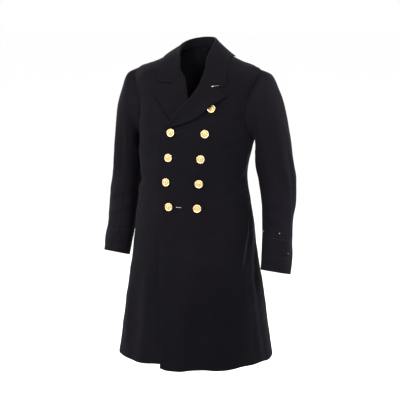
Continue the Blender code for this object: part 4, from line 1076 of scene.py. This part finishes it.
def collar_fall(side, share, seam, edge, start, over_corner):
    """Fall of the collar: a curve from the fold through a middle point to the free edge, lifted clear
    of the body, and bent near its end onto the gorge seam."""
    middle = front_place(side, (seam[0] + edge[0]) / 2, (seam[1] + edge[1]) / 2, FALL_SPRING)
    clearance = COLLAR_CLEARANCE + CORNER_CLEARANCE * over_corner
    last = front_place(side, *edge, clearance)
    across = np.linspace(0.09, 1.0, 20)
    way = across[:, None]
    free = (1 - way)**2 * start[:, None] + 2 * way * (1 - way) * middle[:, None] + way**2 * last[:, None]
    guess = [patch(first, second, across) for first, second in zip(seam, edge)]
    under_angle, under_level = nearest_on_body(free, *guess)
    under = front_place(side, under_angle, under_level, 0.0)
    normal = body_normal(under_angle, under_level)
    height = np.sum((free - under) * normal, axis=-1)
    free = free + normal * np.maximum(clearance[:, None] - height, 0.0)[..., None]
    across = np.interp(across, (0.0, 0.18, 0.40, 0.62, 0.82, 1.0), (0.0, 0.10, 0.28, 0.5, 0.75, 1.0))
    flat = gorge_line(side, np.array(LEFT_COLLAR_CORNER if side > 0 else RIGHT_COLLAR_CORNER), across)
    bent = front_place(side, *from_front(flat[:, 0], flat[:, 1]), leaf_height(across, ROLL_RADIUS))
    pull = fade((share - END_PULL_SHARE) / (1 - END_PULL_SHARE))[:, None, None]
    return free * (1 - pull) + bent * pull


def collar_side(side, share):
    """Cross sections of the collar from the centre back to one front end: a stand that rises off the
    neck seam, an arc round the fold line and a fall that bends down onto the body."""
    seam_angle, seam_level = collar_seam(side, share)
    seam = front_place(side, seam_angle, seam_level, 0.0)
    end_point, end_normal, end_off = front_frame(side, *roll_line(side, 0.0))
    fold = collar_fold(side, share, end_point + (end_off + end_normal) * ROLL_RADIUS)
    end_angle, end_level = from_front(*(LEFT_COLLAR_CORNER if side > 0 else RIGHT_COLLAR_CORNER))
    edge_angle = side * collar_column("edge_angle", side * end_angle, share)
    edge_level = collar_column("edge_level", end_level, share)
    turn = fade((share - FRONT_TURN_SHARE) / (1 - FRONT_TURN_SHARE))[:, None]
    flat_out = unit((fold - NECK_MIDDLE) * np.array([1.0, 1.0, 0.0]))
    out = unit(flat_out * (1 - turn) + end_normal * turn)
    up = np.array([0.0, 0.0, 1.0]) * (1 - turn) + end_off * turn
    up = unit(up - out * np.sum(up * out, axis=-1, keepdims=True))
    centre = fold - up * ROLL_RADIUS
    arc = [centre + (up * math.sin(turned) - out * math.cos(turned)) * ROLL_RADIUS
           for turned in np.radians(np.linspace(35, 150, 9))]
    neck_normal = body_normal(seam_angle, seam_level)
    around = unit(plain_body(seam_angle + side, seam_level) - plain_body(seam_angle - side, seam_level))
    off_edge = unit(unit(np.cross(neck_normal, around)) * side * (1 - turn) + end_off * turn)
    over_corner = bell((share - NECK_CORNER_SHARE) / CORNER_WIDTH)
    rooted = seam + off_edge * (SEAM_GAP + CORNER_EASE * over_corner)[:, None]
    risen = seam + off_edge * STAND_RISE + unit(arc[0] - rooted) * CORNER_EASE
    risen = risen * (1 - turn) + (rooted + (arc[0] - rooted) * 0.33) * turn
    stand = [rooted] + [risen + (arc[0] - risen) * s for s in (0.0, 0.2, 0.4, 0.6, 0.8)]
    fall = collar_fall(side, share, (seam_angle, seam_level), (edge_angle, edge_level),
                       centre + out * ROLL_RADIUS, over_corner)
    return np.concatenate([np.stack(stand + arc, axis=1), fall], axis=1)


def collar():
    """Folded collar round the neck, stand and fall in one piece."""
    share = np.linspace(0.0, 1.0, COLLAR_ROWS)
    points = np.concatenate([collar_side(-1.0, share)[:0:-1], collar_side(1.0, share)])
    points = inset(inset(points, ("low", "high"), SEAM_GAP), ("start",), SEAM_GAP / 2)
    piece = cloth_piece("coat_collar", points, True, ("start",), ("end", "low", "high"))
    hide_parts("collar")


def button_points(turns):
    """Face and back of a gilt button as rings from the middle of its face round to its back: each
    point is its reach times cosine and sine of the turn, at its height.

    The face is a shallow disc under a low boss with eight petals, inside a rim of slanted cords.
    """
    face, back_of_it = np.array(BUTTON_FACE), np.array(BUTTON_BACK)
    on_face = np.concatenate([np.linspace(0.02, 0.90, 23), np.linspace(0.905, 1.0, 8)])
    turn = np.linspace(0, 2 * math.pi, turns, endpoint=False)
    out = on_face[:, None]
    petals = PETAL_HEIGHT * np.cos(8 * turn) * bell((out - 0.34) / 0.12)
    cords = CORD_HEIGHT * np.cos(36 * turn + 14 * out) * bell((out - 0.93) / 0.035)
    front = smooth(face[:, 0], face[:, 1], on_face)[:, None] + petals + cords
    height = np.concatenate([front, np.repeat(back_of_it[:, 1:], turns, axis=1)])
    share = np.concatenate([on_face, back_of_it[:, 0]])
    reach = (bpy.context.scene.coat_sizes.button / 2 * share)[:, None]
    return np.stack([reach * np.cos(turn), reach * np.sin(turn), height], axis=-1)


def closed_rings(name, grid):
    """Rings of points joined round and closed by a pole at both ends."""
    rings, turns = grid.shape[:2]
    index = np.arange(rings * turns).reshape(rings, turns)
    nxt = np.roll(index, -1, axis=1)
    quads = np.stack([index[:-1], index[1:], nxt[1:], nxt[:-1]], axis=-1).reshape(-1, 4)
    first, last = rings * turns, rings * turns + 1
    cap = np.stack([np.full(turns, first), index[0], nxt[0]], axis=-1)
    end = np.stack([np.full(turns, last), nxt[-1], index[-1]], axis=-1)
    points = np.concatenate([grid.reshape(-1, 3), grid[0].mean(axis=0)[None], grid[-1].mean(axis=0)[None]])
    mesh = bpy.data.meshes.new(name)
    mesh.from_pydata(points, [], quads.tolist() + cap.tolist() + end.tolist())
    mesh.shade_smooth()
    return mesh


def buttons():
    """Nine gilt buttons that stand square on the left forepart, each turned a little on its shank."""
    grid = button_points(72)
    flat = grid.reshape(-1, 3)
    share = np.linalg.norm(flat[:, :2], axis=1) / (bpy.context.scene.coat_sizes.button / 2)
    for row, (height, left_x, right_x) in enumerate(BUTTON_ROWS):
        for word, x, first_spin in (("left", left_x, 0.4), ("right", right_x, 1.1)):
            if x is None:
                continue
            angle, level = from_front(x, height)
            place = front_place(1.0, angle, level, BUTTON_SEAT)
            tilt = np.array(Vector(body_normal(angle, level)).to_track_quat("Z", "Y").to_matrix())
            spin = np.array(Matrix.Rotation(0.7 * row + first_spin, 3, "Z"))
            name = f"button_{word}_{row + 1}"
            mesh = closed_rings("gilt_" + name, (flat @ (tilt @ spin).T + place).reshape(grid.shape))
            relief = mesh.attributes.new("radius_share", "FLOAT", "POINT")
            relief.data.foreach_set("value", np.concatenate([share, [0.0, 0.0]]))
            piece = finished("gilt_" + name, mesh, "gilt")
            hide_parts(name)


def thread_tube(name, path, radius, material, sides=6):
    """Tube along a path: the path plus radius times cosine and sine in its two cross directions."""
    path = np.asarray(path, float)
    tangent = unit(np.gradient(path, axis=0))
    first = unit(np.cross(tangent, np.array([0.0, -1.0, 0.0])))
    second = np.cross(tangent, first)
    turn = np.linspace(0, 2 * math.pi, sides, endpoint=False)[None, :, None]
    radius = np.broadcast_to(np.asarray(radius, float), (len(path),))[:, None, None]
    grid = path[:, None] + radius * (np.cos(turn) * first[:, None] - np.sin(turn) * second[:, None])
    finished(name, closed_rings(name, grid), material)


def buttonholes():
    """Worked buttonholes of the right hand column: stitched ovals whose cord swells at each stitch."""
    for row, (height, _, right_x) in enumerate(BUTTON_ROWS[:4]):
        turn = np.linspace(0, 2 * math.pi, 150)
        along = right_x + HOLE_HALF_LENGTH * (1 + np.cos(turn))
        up = height + HOLE_HALF_WIDTH * np.sign(np.sin(turn)) * np.abs(np.sin(turn))**0.4
        path = front_place(1.0, *from_front(along, up), HOLE_CORD_HEIGHT)
        radius = HOLE_CORD_RADIUS * (1 + 0.35 * np.sin(turn * 70))
        thread_tube(f"buttonhole_{row + 1}", path, radius, "dark_thread", 8)


def pale_threads():
    """Worn pale ends of old stitching: at the lowest buttonhole and in the left notch."""
    step = np.linspace(0, 1, 24)
    x = -0.0225 + 0.0160 * step
    path = front_place(1.0, *from_front(x, -0.4655 + 0.0004 * np.sin(x * 900)), 0.0022)
    thread_tube("worn_buttonhole_end", path, 0.0005 + 0.0002 * np.sin(9 * step), "pale_thread", 8)
    x = 0.0725 + 0.0200 * step
    path = front_place(1.0, *from_front(x, -0.1083 + 0.0040 * step), 0.0074)
    thread_tube("notch_thread", path, 0.0003 + 0.0011 * (x < 0.0780), "pale_thread", 8)


def sleeve_path(side, turns, runs, height):
    """Points on a sleeve at turns and distances down it, moved out by a height: each is mixed from
    the four nearest points of a fine grid with a column every two degrees."""
    rows, columns = 240, 181
    grid = sleeve_grid(side, np.linspace(0.0, 360.0, columns), np.linspace(1.0, LAST_STATION, rows))
    normal = grid_normal(grid, side < 0)
    steps = np.linalg.norm(np.diff(grid, axis=0), axis=-1).mean(axis=1)
    row = np.interp(runs, np.concatenate([[0.0], np.cumsum(steps)]), np.arange(float(rows)))
    column = (np.asarray(turns) % 360.0) / 2.0
    i, j = np.minimum(row.astype(int), rows - 2), np.minimum(column.astype(int), columns - 2)
    u, v = (row - i)[:, None], (column - j)[:, None]

    def pick(values):
        return ((values[i, j] * (1 - v) + values[i, j + 1] * v) * (1 - u)
                + (values[i + 1, j] * (1 - v) + values[i + 1, j + 1] * v) * u)

    return pick(grid) + unit(pick(normal)) * np.broadcast_to(height, (len(row),))[:, None]


def cuff_traces():
    """Two rings of stitch marks round each cuff where lace was taken off, with a few pale ends."""
    turns = np.linspace(0.0, 352.0, 420)
    height = 0.0011 + 0.0003 * np.sin(np.radians(turns) * 60)
    for side in (1.0, -1.0):
        for k, down in enumerate(LACE_LINES):
            runs = down + 0.0015 * np.sin(np.radians(turns * 2 + 40 * k))
            path = sleeve_path(side, turns, runs, height)
            thread_tube(f"{side_word(side)}_lace_line_{k + 1}", path, 0.00035, "grey_thread")
    step = np.linspace(0, 1, 14)
    for k, (turn, down, length, radius, material) in enumerate(LACE_ENDS):
        turns = turn + np.degrees(length / SLEEVE_TURN_RADIUS) * step
        path = sleeve_path(1.0, turns, down + 0.001 * np.sin(step * 5), 0.0016 + 0.0006 * step)
        thread_tube(f"left_lace_end_{k + 1}", path, radius, material)


class Node:
    """One socket of a material that takes part in sums and products."""

    def __init__(self, maker, socket):
        self.maker = maker
        self.socket = socket

    def _math(self, operation, first, second=0.0):
        return self.maker.node("ShaderNodeMath", {"operation": operation}, {0: first, 1: second})

    def __add__(self, other):
        return self._math("ADD", self, other)

    def __radd__(self, other):
        return self._math("ADD", other, self)

    def __sub__(self, other):
        return self._math("SUBTRACT", self, other)

    def __rsub__(self, other):
        return self._math("SUBTRACT", other, self)

    def __mul__(self, other):
        return self._math("MULTIPLY", self, other)

    def __rmul__(self, other):
        return self._math("MULTIPLY", other, self)

    def __truediv__(self, other):
        return self._math("DIVIDE", self, other)

    def __rtruediv__(self, other):
        return self._math("DIVIDE", other, self)

    def sine(self):
        return self._math("SINE", self)

    def above(self, low, high):
        """0 below low and 1 above high, with a soft step between."""
        values = {"Value": self, "From Min": low, "From Max": high, "To Min": 0.0, "To Max": 1.0}
        return self.maker.node("ShaderNodeMapRange", {"interpolation_type": "SMOOTHSTEP"}, values)

    def bell(self, middle, width):
        """1 at the middle and falling off to both sides over the width."""
        away = (self - middle) / width
        return self._math("POWER", math.e, (away * away) * -1.0)


class Finish:
    """A material's nodes, made one by one by a single method."""

    def __init__(self, name):
        self.material = bpy.data.materials.new(name)
        self.material.use_nodes = True
        self.tree = self.material.node_tree
        self.shader = self.tree.nodes["Principled BSDF"]

    def node(self, kind, settings=None, sockets=None, output=0):
        made = self.tree.nodes.new(kind)
        for name, value in (settings or {}).items():
            setattr(made, name, value)
        self.join(made, sockets or {})
        return Node(self, made.outputs[output])

    def join(self, made, sockets):
        for name, value in sockets.items():
            if isinstance(value, Node):
                self.tree.links.new(value.socket, made.inputs[name])
            else:
                made.inputs[name].default_value = value

    def mix(self, share, first, second):
        """Colour between two colours."""
        return self.node("ShaderNodeMix", {"data_type": "RGBA"}, {0: share, 6: first, 7: second}, 2)

    def noise(self, place, scale, detail=2.0, roughness=0.5):
        return self.node("ShaderNodeTexNoise", {}, {"Vector": place, "Scale": scale, "Detail": detail,
                                                    "Roughness": roughness})

    def bump(self, height, strength, distance):
        sockets = {"Height": height, "Strength": strength, "Distance": distance}
        return self.node("ShaderNodeBump", {}, sockets)

    def attribute(self, name):
        return self.node("ShaderNodeAttribute", {"attribute_name": name}, output=2)

    def axes(self, place):
        """The three numbers of a place."""
        return [self.node("ShaderNodeSeparateXYZ", {}, {"Vector": place}, axis) for axis in range(3)]

    def surface(self, sockets):
        self.join(self.shader, sockets)
        return self.material


def colour(values, share=1.0):
    """A colour from a property, scaled, with full opacity."""
    return (values[0] * share, values[1] * share, values[2] * share, 1.0)


def painted_highlight_line(y, z, line, width):
    """Bell round a line down a crease, where a pale highlight is painted: its y is a slope times the way
    down plus, above the height where it starts, a bend times the square of that way."""
    start_y, start_z, slope, bend = line
    down = z - start_z
    on_line = start_y + down * slope + down * down * down.above(0.0, 0.004) * bend
    return (y - on_line).bell(0.0, width)


def make_wool(name, lightened=1.0):
    """Fulled wool broadcloth: felted nap over a close weave, brushed thin and paler along its edges,
    with a stitched line beside each finished edge and faint marks and lint over the whole.  Painted
    shade makes it darker towards the hem and along its seams, and a painted highlight runs along the
    sharpest crease of skirt and sleeve.  The lightened factor scales its colours up as painted light."""
    hues = bpy.context.scene.coat_colours
    made = Finish(name)
    place = made.node("ShaderNodeTexCoord", output=3)
    chart = made.node("ShaderNodeUVMap", {"uv_map": "metres"})
    edge, seam, run = (made.attribute(word) for word in ("edge", "seam", "run"))
    x, y, z = made.axes(place)
    along_u, along_v, _ = made.axes(chart)
    cloudy = made.noise(place, 7.0, 4.0, 0.6)
    streaks = made.noise(place, 38.0, 3.0, 0.6)
    nap = made.noise(chart, 1300.0, 3.0, 0.65)
    tufts = made.noise(chart, 330.0, 2.0, 0.6)
    lint_cells = made.node("ShaderNodeTexVoronoi", {}, {"Vector": place, "Scale": 42.0})
    lint = (1.0 - lint_cells.above(0.030, 0.060)) * made.noise(place, 11.0, 1.0).above(0.56, 0.64)
    worn = (1.0 - edge.above(0.0004, 0.0030)) * 0.15 + cloudy.above(0.50, 0.78) * 0.45
    weave = (along_u * WEAVE_PITCH).sine() * (along_v * WEAVE_PITCH).sine()
    stitch_line = edge.bell(0.0060, 0.0007)
    stitch = stitch_line * (run * 2600.0).sine().above(-0.6, 0.4)
    # Painted highlights: pale lines down a crease of the skirt and of the left sleeve, where light catches
    # their ridges
    on_skirt = z.above(-0.68, -0.58) * x.above(0.13, 0.15) * (1.0 - x.above(0.22, 0.24))
    on_sleeve = z.above(-0.38, -0.28) * x.above(0.24, 0.27) * streaks
    skirt_highlight = painted_highlight_line(y, z, SKIRT_HIGHLIGHT_LINE, 0.0017) * on_skirt
    sleeve_highlight = painted_highlight_line(y, z, SLEEVE_HIGHLIGHT_LINE, 0.0024) * on_sleeve
    # lightened scales every wool colour up; the sleeves' 1.30 is painted light
    wool, worn_wool = colour(hues.wool, lightened), colour(hues.worn_wool, lightened)
    shade = made.mix(made.noise(place, 3.1).above(0.38, 0.62), wool, colour(hues.brown_wool, lightened))
    shade = made.mix(cloudy.above(0.35, 0.70) * 0.6, shade, colour(hues.worn_wool, 0.55 * lightened))
    shade = made.mix(nap.above(0.35, 0.75) * 0.55, shade, worn_wool)
    shade = made.mix(worn * (0.4 + 0.6 * streaks), shade, colour(hues.worn_wool, 1.2 * lightened))
    # Painted shade: the wool is darker towards the hem
    shade = made.mix((1.0 - z.above(-0.82, -0.55)) * 0.30, shade, colour(hues.wool, 0.35))
    # Painted highlight lines, mixed towards the lint colour
    shade = made.mix(skirt_highlight * 0.42 + sleeve_highlight * 0.30, shade, colour(hues.lint))
    # Painted shade: darker along the seams
    shade = made.mix((1.0 - seam.above(0.0002, 0.0014)) * 0.12, shade, colour(hues.wool, 0.5))
    shade = made.mix(lint * 0.8, shade, colour(hues.lint))
    height = nap * 0.35 + tufts * 0.55 + weave * 0.10 - stitch_line * 1.6 + stitch * 1.3
    bump = made.bump(height, 0.35, 0.0006)
    return made.surface({"Base Color": shade, "Roughness": 0.86 + 0.10 * tufts, "Normal": bump,
                         "Specular IOR Level": 0.035, "Sheen Weight": 0.022, "Sheen Roughness": 0.40,
                         "Sheen Tint": (0.80, 0.74, 1.0, 1.0)})


def make_gilt():
    """Thin gilding over brass: bright on what stands out, browned in the hollows and dulled in spots."""
    hues = bpy.context.scene.coat_colours
    made = Finish("gilt")
    place = made.node("ShaderNodeTexCoord", output=3)
    share = made.attribute("radius_share")
    spots = made.noise(place, 420.0, 4.0, 0.65)
    grain = made.noise(place, 2600.0)
    hollow = share.bell(0.64, 0.10) * 0.50 + (1.0 - share.above(0.30, 0.66)) * 0.55
    shade = made.mix(hollow * (0.5 + spots), colour(hues.gilt), colour(hues.tarnish))
    shade = made.mix(spots.above(0.60, 0.74) * 0.5, shade, colour(hues.tarnish))
    return made.surface({"Base Color": shade, "Metallic": 1.0, "Roughness": 0.30 + 0.18 * spots,
                         "Normal": made.bump(grain * 0.5 + spots * 0.5, 0.2, 0.0002)})


def make_thread(name, base, light):
    """Twisted sewing thread with uneven plies."""
    made = Finish(name)
    plies = made.noise(made.node("ShaderNodeTexCoord", output=3), 1500.0)
    return made.surface({"Base Color": made.mix(plies, base, light), "Roughness": 0.80 + 0.1 * plies,
                         "Normal": made.bump(plies, 0.4, 0.0003), "Specular IOR Level": 0.2})


MADE = {}


def finish(name):
    """The named material, made when it is first asked for."""
    hues = bpy.context.scene.coat_colours
    makers = {
        "wool": lambda: make_wool("worn_wool"),
        # The sleeves' wool is 1.30 times lighter: painted light
        "sleeve_wool_painted_light": lambda: make_wool("sleeve_wool_painted_light", 1.30),
        "gilt": make_gilt,
        "dark_thread": lambda: make_thread(name, colour(hues.wool, 0.8), colour(hues.worn_wool, 0.7)),
        "grey_thread": lambda: make_thread(name, colour(hues.worn_wool, 0.9), colour(hues.lint, 0.7)),
        "pale_thread": lambda: make_thread(name, (0.26, 0.23, 0.21, 1.0), (0.50, 0.46, 0.42, 1.0)),
    }
    if name not in MADE:
        MADE[name] = makers[name]()
    return MADE[name]


def aim(thing, place, target):
    """Put a light or the camera at a place so that it looks at the target."""
    thing.location = place
    thing.rotation_euler = (Vector(target) - Vector(place)).to_track_quat("-Z", "Y").to_euler()


def soft_light(name, place, power):
    """A square softbox that looks at the coat's middle."""
    lamp = bpy.data.lights.new(name, "AREA")
    lamp.shape = "SQUARE"
    lamp.size = 0.7
    lamp.energy = power
    thing = bpy.data.objects.new(name, lamp)
    bpy.context.scene.collection.objects.link(thing)
    aim(thing, place, (0.0, 0.0, -0.30))


def stage():
    """Pale floor, plain bright surroundings, soft lights and the camera at the photograph's angle."""
    scene = bpy.context.scene
    view = scene.coat_view
    scene.view_settings.view_transform = "Standard"
    made = Finish("pale_floor")
    marks = made.noise(made.node("ShaderNodeTexCoord", output=3), 2.0, 3.0)
    made.surface({"Base Color": made.mix(marks, (0.985, 0.985, 0.985, 1.0), (1.0, 1.0, 1.0, 1.0)),
                  "Roughness": 0.9})
    mesh = bpy.data.meshes.new("floor")
    corners = [(x * FLOOR_REACH, y * FLOOR_REACH, view.floor)
               for x, y in ((-1, -1), (1, -1), (1, 1), (-1, 1))]
    mesh.from_pydata(corners, [], [(0, 1, 2, 3)])
    mesh.materials.append(made.material)
    floor = bpy.data.objects.new("floor", mesh)
    scene.collection.objects.link(floor)
    world = bpy.data.worlds.new("bright_room")
    scene.world = world
    world.use_nodes = True
    world.node_tree.nodes["Background"].inputs[0].default_value = (1.0, 1.0, 1.0, 1.0)
    world.node_tree.nodes["Background"].inputs[1].default_value = view.room
    for name, place, power in LAMPS:
        soft_light(name, place, power * view.lamps)
    lens = bpy.data.cameras.new("camera")
    lens.sensor_width = 36.0
    lens.lens = view.focal
    lens.shift_x = 0.00175
    camera = bpy.data.objects.new("camera", lens)
    scene.collection.objects.link(camera)
    turn = math.radians(view.azimuth)
    aim(camera, (math.sin(turn) * view.distance, -math.cos(turn) * view.distance, view.height),
        (0.0, 0.0, view.look_height))
    scene.camera = camera


class CoatSizes(bpy.types.PropertyGroup):
    """Sizes of the cloth and its buttons."""

    cloth: bpy.props.FloatProperty(name="Cloth", description="Thickness of the wool cloth", default=0.0022,
                                   min=0.001, max=0.0023, subtype="DISTANCE", unit="LENGTH")
    cad_cloth: bpy.props.FloatProperty(name="Frame cloth", description="Wall of the frame's solids",
                                       default=0.0024, subtype="DISTANCE", unit="LENGTH")
    seam_depth: bpy.props.FloatProperty(name="Seam depth", description="How far cloth sinks along a seam",
                                        default=0.0002, subtype="DISTANCE", unit="LENGTH")
    crease_share: bpy.props.FloatProperty(name="Creases", description="Share of the creases' full height",
                                          default=1.0, min=0.0, max=1.5, subtype="FACTOR")
    button: bpy.props.FloatProperty(name="Button", description="Diameter of a gilt button", default=0.0240,
                                    subtype="DISTANCE", unit="LENGTH")


class CoatColours(bpy.types.PropertyGroup):
    """Colours of wool, gilding and lint."""

    wool: bpy.props.FloatVectorProperty(
        name="Wool", description="Deep colour of the wool", subtype="COLOR",
        default=(0.0021, 0.0019, 0.0030), min=0.0, max=1.0)
    brown_wool: bpy.props.FloatVectorProperty(
        name="Browned wool", description="Wool where light has faded it", subtype="COLOR",
        default=(0.0027, 0.0020, 0.0028), min=0.0, max=1.0)
    worn_wool: bpy.props.FloatVectorProperty(
        name="Worn wool", description="Colour where the nap is thin", subtype="COLOR",
        default=(0.0050, 0.0044, 0.0064), min=0.0, max=1.0)
    # The lint colour is also the colour of the painted highlight lines along the creases
    lint: bpy.props.FloatVectorProperty(
        name="Lint", description="Colour of lint", subtype="COLOR",
        default=(0.022, 0.020, 0.024), min=0.0, max=1.0)
    gilt: bpy.props.FloatVectorProperty(
        name="Gilding", description="Colour of bright gilding", subtype="COLOR",
        default=(0.70, 0.52, 0.275), min=0.0, max=1.0)
    tarnish: bpy.props.FloatVectorProperty(
        name="Tarnish", description="Colour of browned gilding", subtype="COLOR",
        default=(0.34, 0.195, 0.050), min=0.0, max=1.0)


class CoatView(bpy.types.PropertyGroup):
    """Camera and light of the studio."""

    azimuth: bpy.props.FloatProperty(
        name="Azimuth", description="Camera's angle from the front, in degrees", default=18.0)
    distance: bpy.props.FloatProperty(name="Distance", description="Camera's distance from the coat",
                                      default=3.4, subtype="DISTANCE", unit="LENGTH")
    height: bpy.props.FloatProperty(name="Height", description="Camera's height over the shoulders",
                                    default=0.18, subtype="DISTANCE", unit="LENGTH")
    look_height: bpy.props.FloatProperty(name="Target", description="Height that the camera looks at",
                                         default=-0.47, subtype="DISTANCE", unit="LENGTH")
    focal: bpy.props.FloatProperty(name="Lens", description="Focal length in millimetres", default=98.82)
    floor: bpy.props.FloatProperty(name="Floor", description="Height of the floor under a wearer",
                                   default=-1.45, subtype="DISTANCE", unit="LENGTH")
    room: bpy.props.FloatProperty(name="Room", description="Brightness of the surroundings", default=1.0)
    lamps: bpy.props.FloatProperty(name="Lamps", description="Brightness of the lamps", default=1.0)


def both(build):
    """Build a piece for the wearer's left and right."""
    build(1.0)
    build(-1.0)


class COAT_OT_foreparts(bpy.types.Operator):
    """Build the two foreparts"""

    bl_idname = "coat.foreparts"
    bl_label = "Foreparts"

    def execute(self, context):
        both(forepart)
        return {"FINISHED"}


class COAT_OT_sidebodies(bpy.types.Operator):
    """Build the two side pieces"""

    bl_idname = "coat.sidebodies"
    bl_label = "Sidebodies"

    def execute(self, context):
        both(sidebody)
        return {"FINISHED"}


class COAT_OT_backs(bpy.types.Operator):
    """Build the two halves of the back and the seam allowances behind their seam"""

    bl_idname = "coat.backs"
    bl_label = "Backs"

    def execute(self, context):
        both(back)
        back_allowances()
        return {"FINISHED"}


class COAT_OT_skirts(bpy.types.Operator):
    """Build the two skirts"""

    bl_idname = "coat.skirts"
    bl_label = "Skirts"

    def execute(self, context):
        both(skirt)
        return {"FINISHED"}


class COAT_OT_sleeves(bpy.types.Operator):
    """Build the top and under sleeves"""

    bl_idname = "coat.sleeves"
    bl_label = "Sleeves"

    def execute(self, context):
        both(sleeves)
        return {"FINISHED"}


class COAT_OT_lapels(bpy.types.Operator):
    """Build the two lapels"""

    bl_idname = "coat.lapels"
    bl_label = "Lapels"

    def execute(self, context):
        both(lapel)
        return {"FINISHED"}


class COAT_OT_collar(bpy.types.Operator):
    """Build the collar"""

    bl_idname = "coat.collar"
    bl_label = "Collar"

    def execute(self, context):
        collar()
        return {"FINISHED"}


class COAT_OT_buttons(bpy.types.Operator):
    """Build the gilt buttons"""

    bl_idname = "coat.buttons"
    bl_label = "Buttons"

    def execute(self, context):
        buttons()
        return {"FINISHED"}


class COAT_OT_stitching(bpy.types.Operator):
    """Build the buttonholes, the worn threads and the traces of lace"""

    bl_idname = "coat.stitching"
    bl_label = "Stitching"

    def execute(self, context):
        buttonholes()
        pale_threads()
        cuff_traces()
        return {"FINISHED"}


class COAT_OT_stage(bpy.types.Operator):
    """Build the floor, the lights and the camera"""

    bl_idname = "coat.stage"
    bl_label = "Stage"

    def execute(self, context):
        stage()
        return {"FINISHED"}


OPERATORS = (COAT_OT_stage, COAT_OT_foreparts, COAT_OT_sidebodies, COAT_OT_backs, COAT_OT_skirts,
             COAT_OT_sleeves, COAT_OT_lapels, COAT_OT_collar, COAT_OT_buttons, COAT_OT_stitching)


class COAT_PT_panel(bpy.types.Panel):
    """Lists the coat's pieces with their sizes and colours"""

    bl_idname = "COAT_PT_panel"
    bl_label = "Sailor coat"
    bl_space_type = "VIEW_3D"
    bl_region_type = "UI"
    bl_category = "Sailor coat"

    def draw(self, context):
        for group in (context.scene.coat_sizes, context.scene.coat_colours, context.scene.coat_view):
            for name in group.bl_rna.properties.keys():
                if name not in ("rna_type", "name"):
                    self.layout.prop(group, name)
        for operator in OPERATORS:
            self.layout.operator(operator.bl_idname)


GROUPS = (("coat_sizes", CoatSizes), ("coat_colours", CoatColours), ("coat_view", CoatView))


def register():
    """Add the property groups, the operators and the panel."""
    for name, group in GROUPS:
        bpy.utils.register_class(group)
        setattr(bpy.types.Scene, name, bpy.props.PointerProperty(type=group))
    for thing in (*OPERATORS, COAT_PT_panel):
        bpy.utils.register_class(thing)


def unregister():
    """Take them out again in the opposite order."""
    for thing in reversed((*OPERATORS, COAT_PT_panel)):
        bpy.utils.unregister_class(thing)
    for name, group in reversed(GROUPS):
        delattr(bpy.types.Scene, name)
        bpy.utils.unregister_class(group)


def main():
    """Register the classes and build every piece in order."""
    register()
    for operator in OPERATORS:
        category, name = operator.bl_idname.split(".")
        getattr(getattr(bpy.ops, category), name)()


if __name__ == "__main__":
    main()
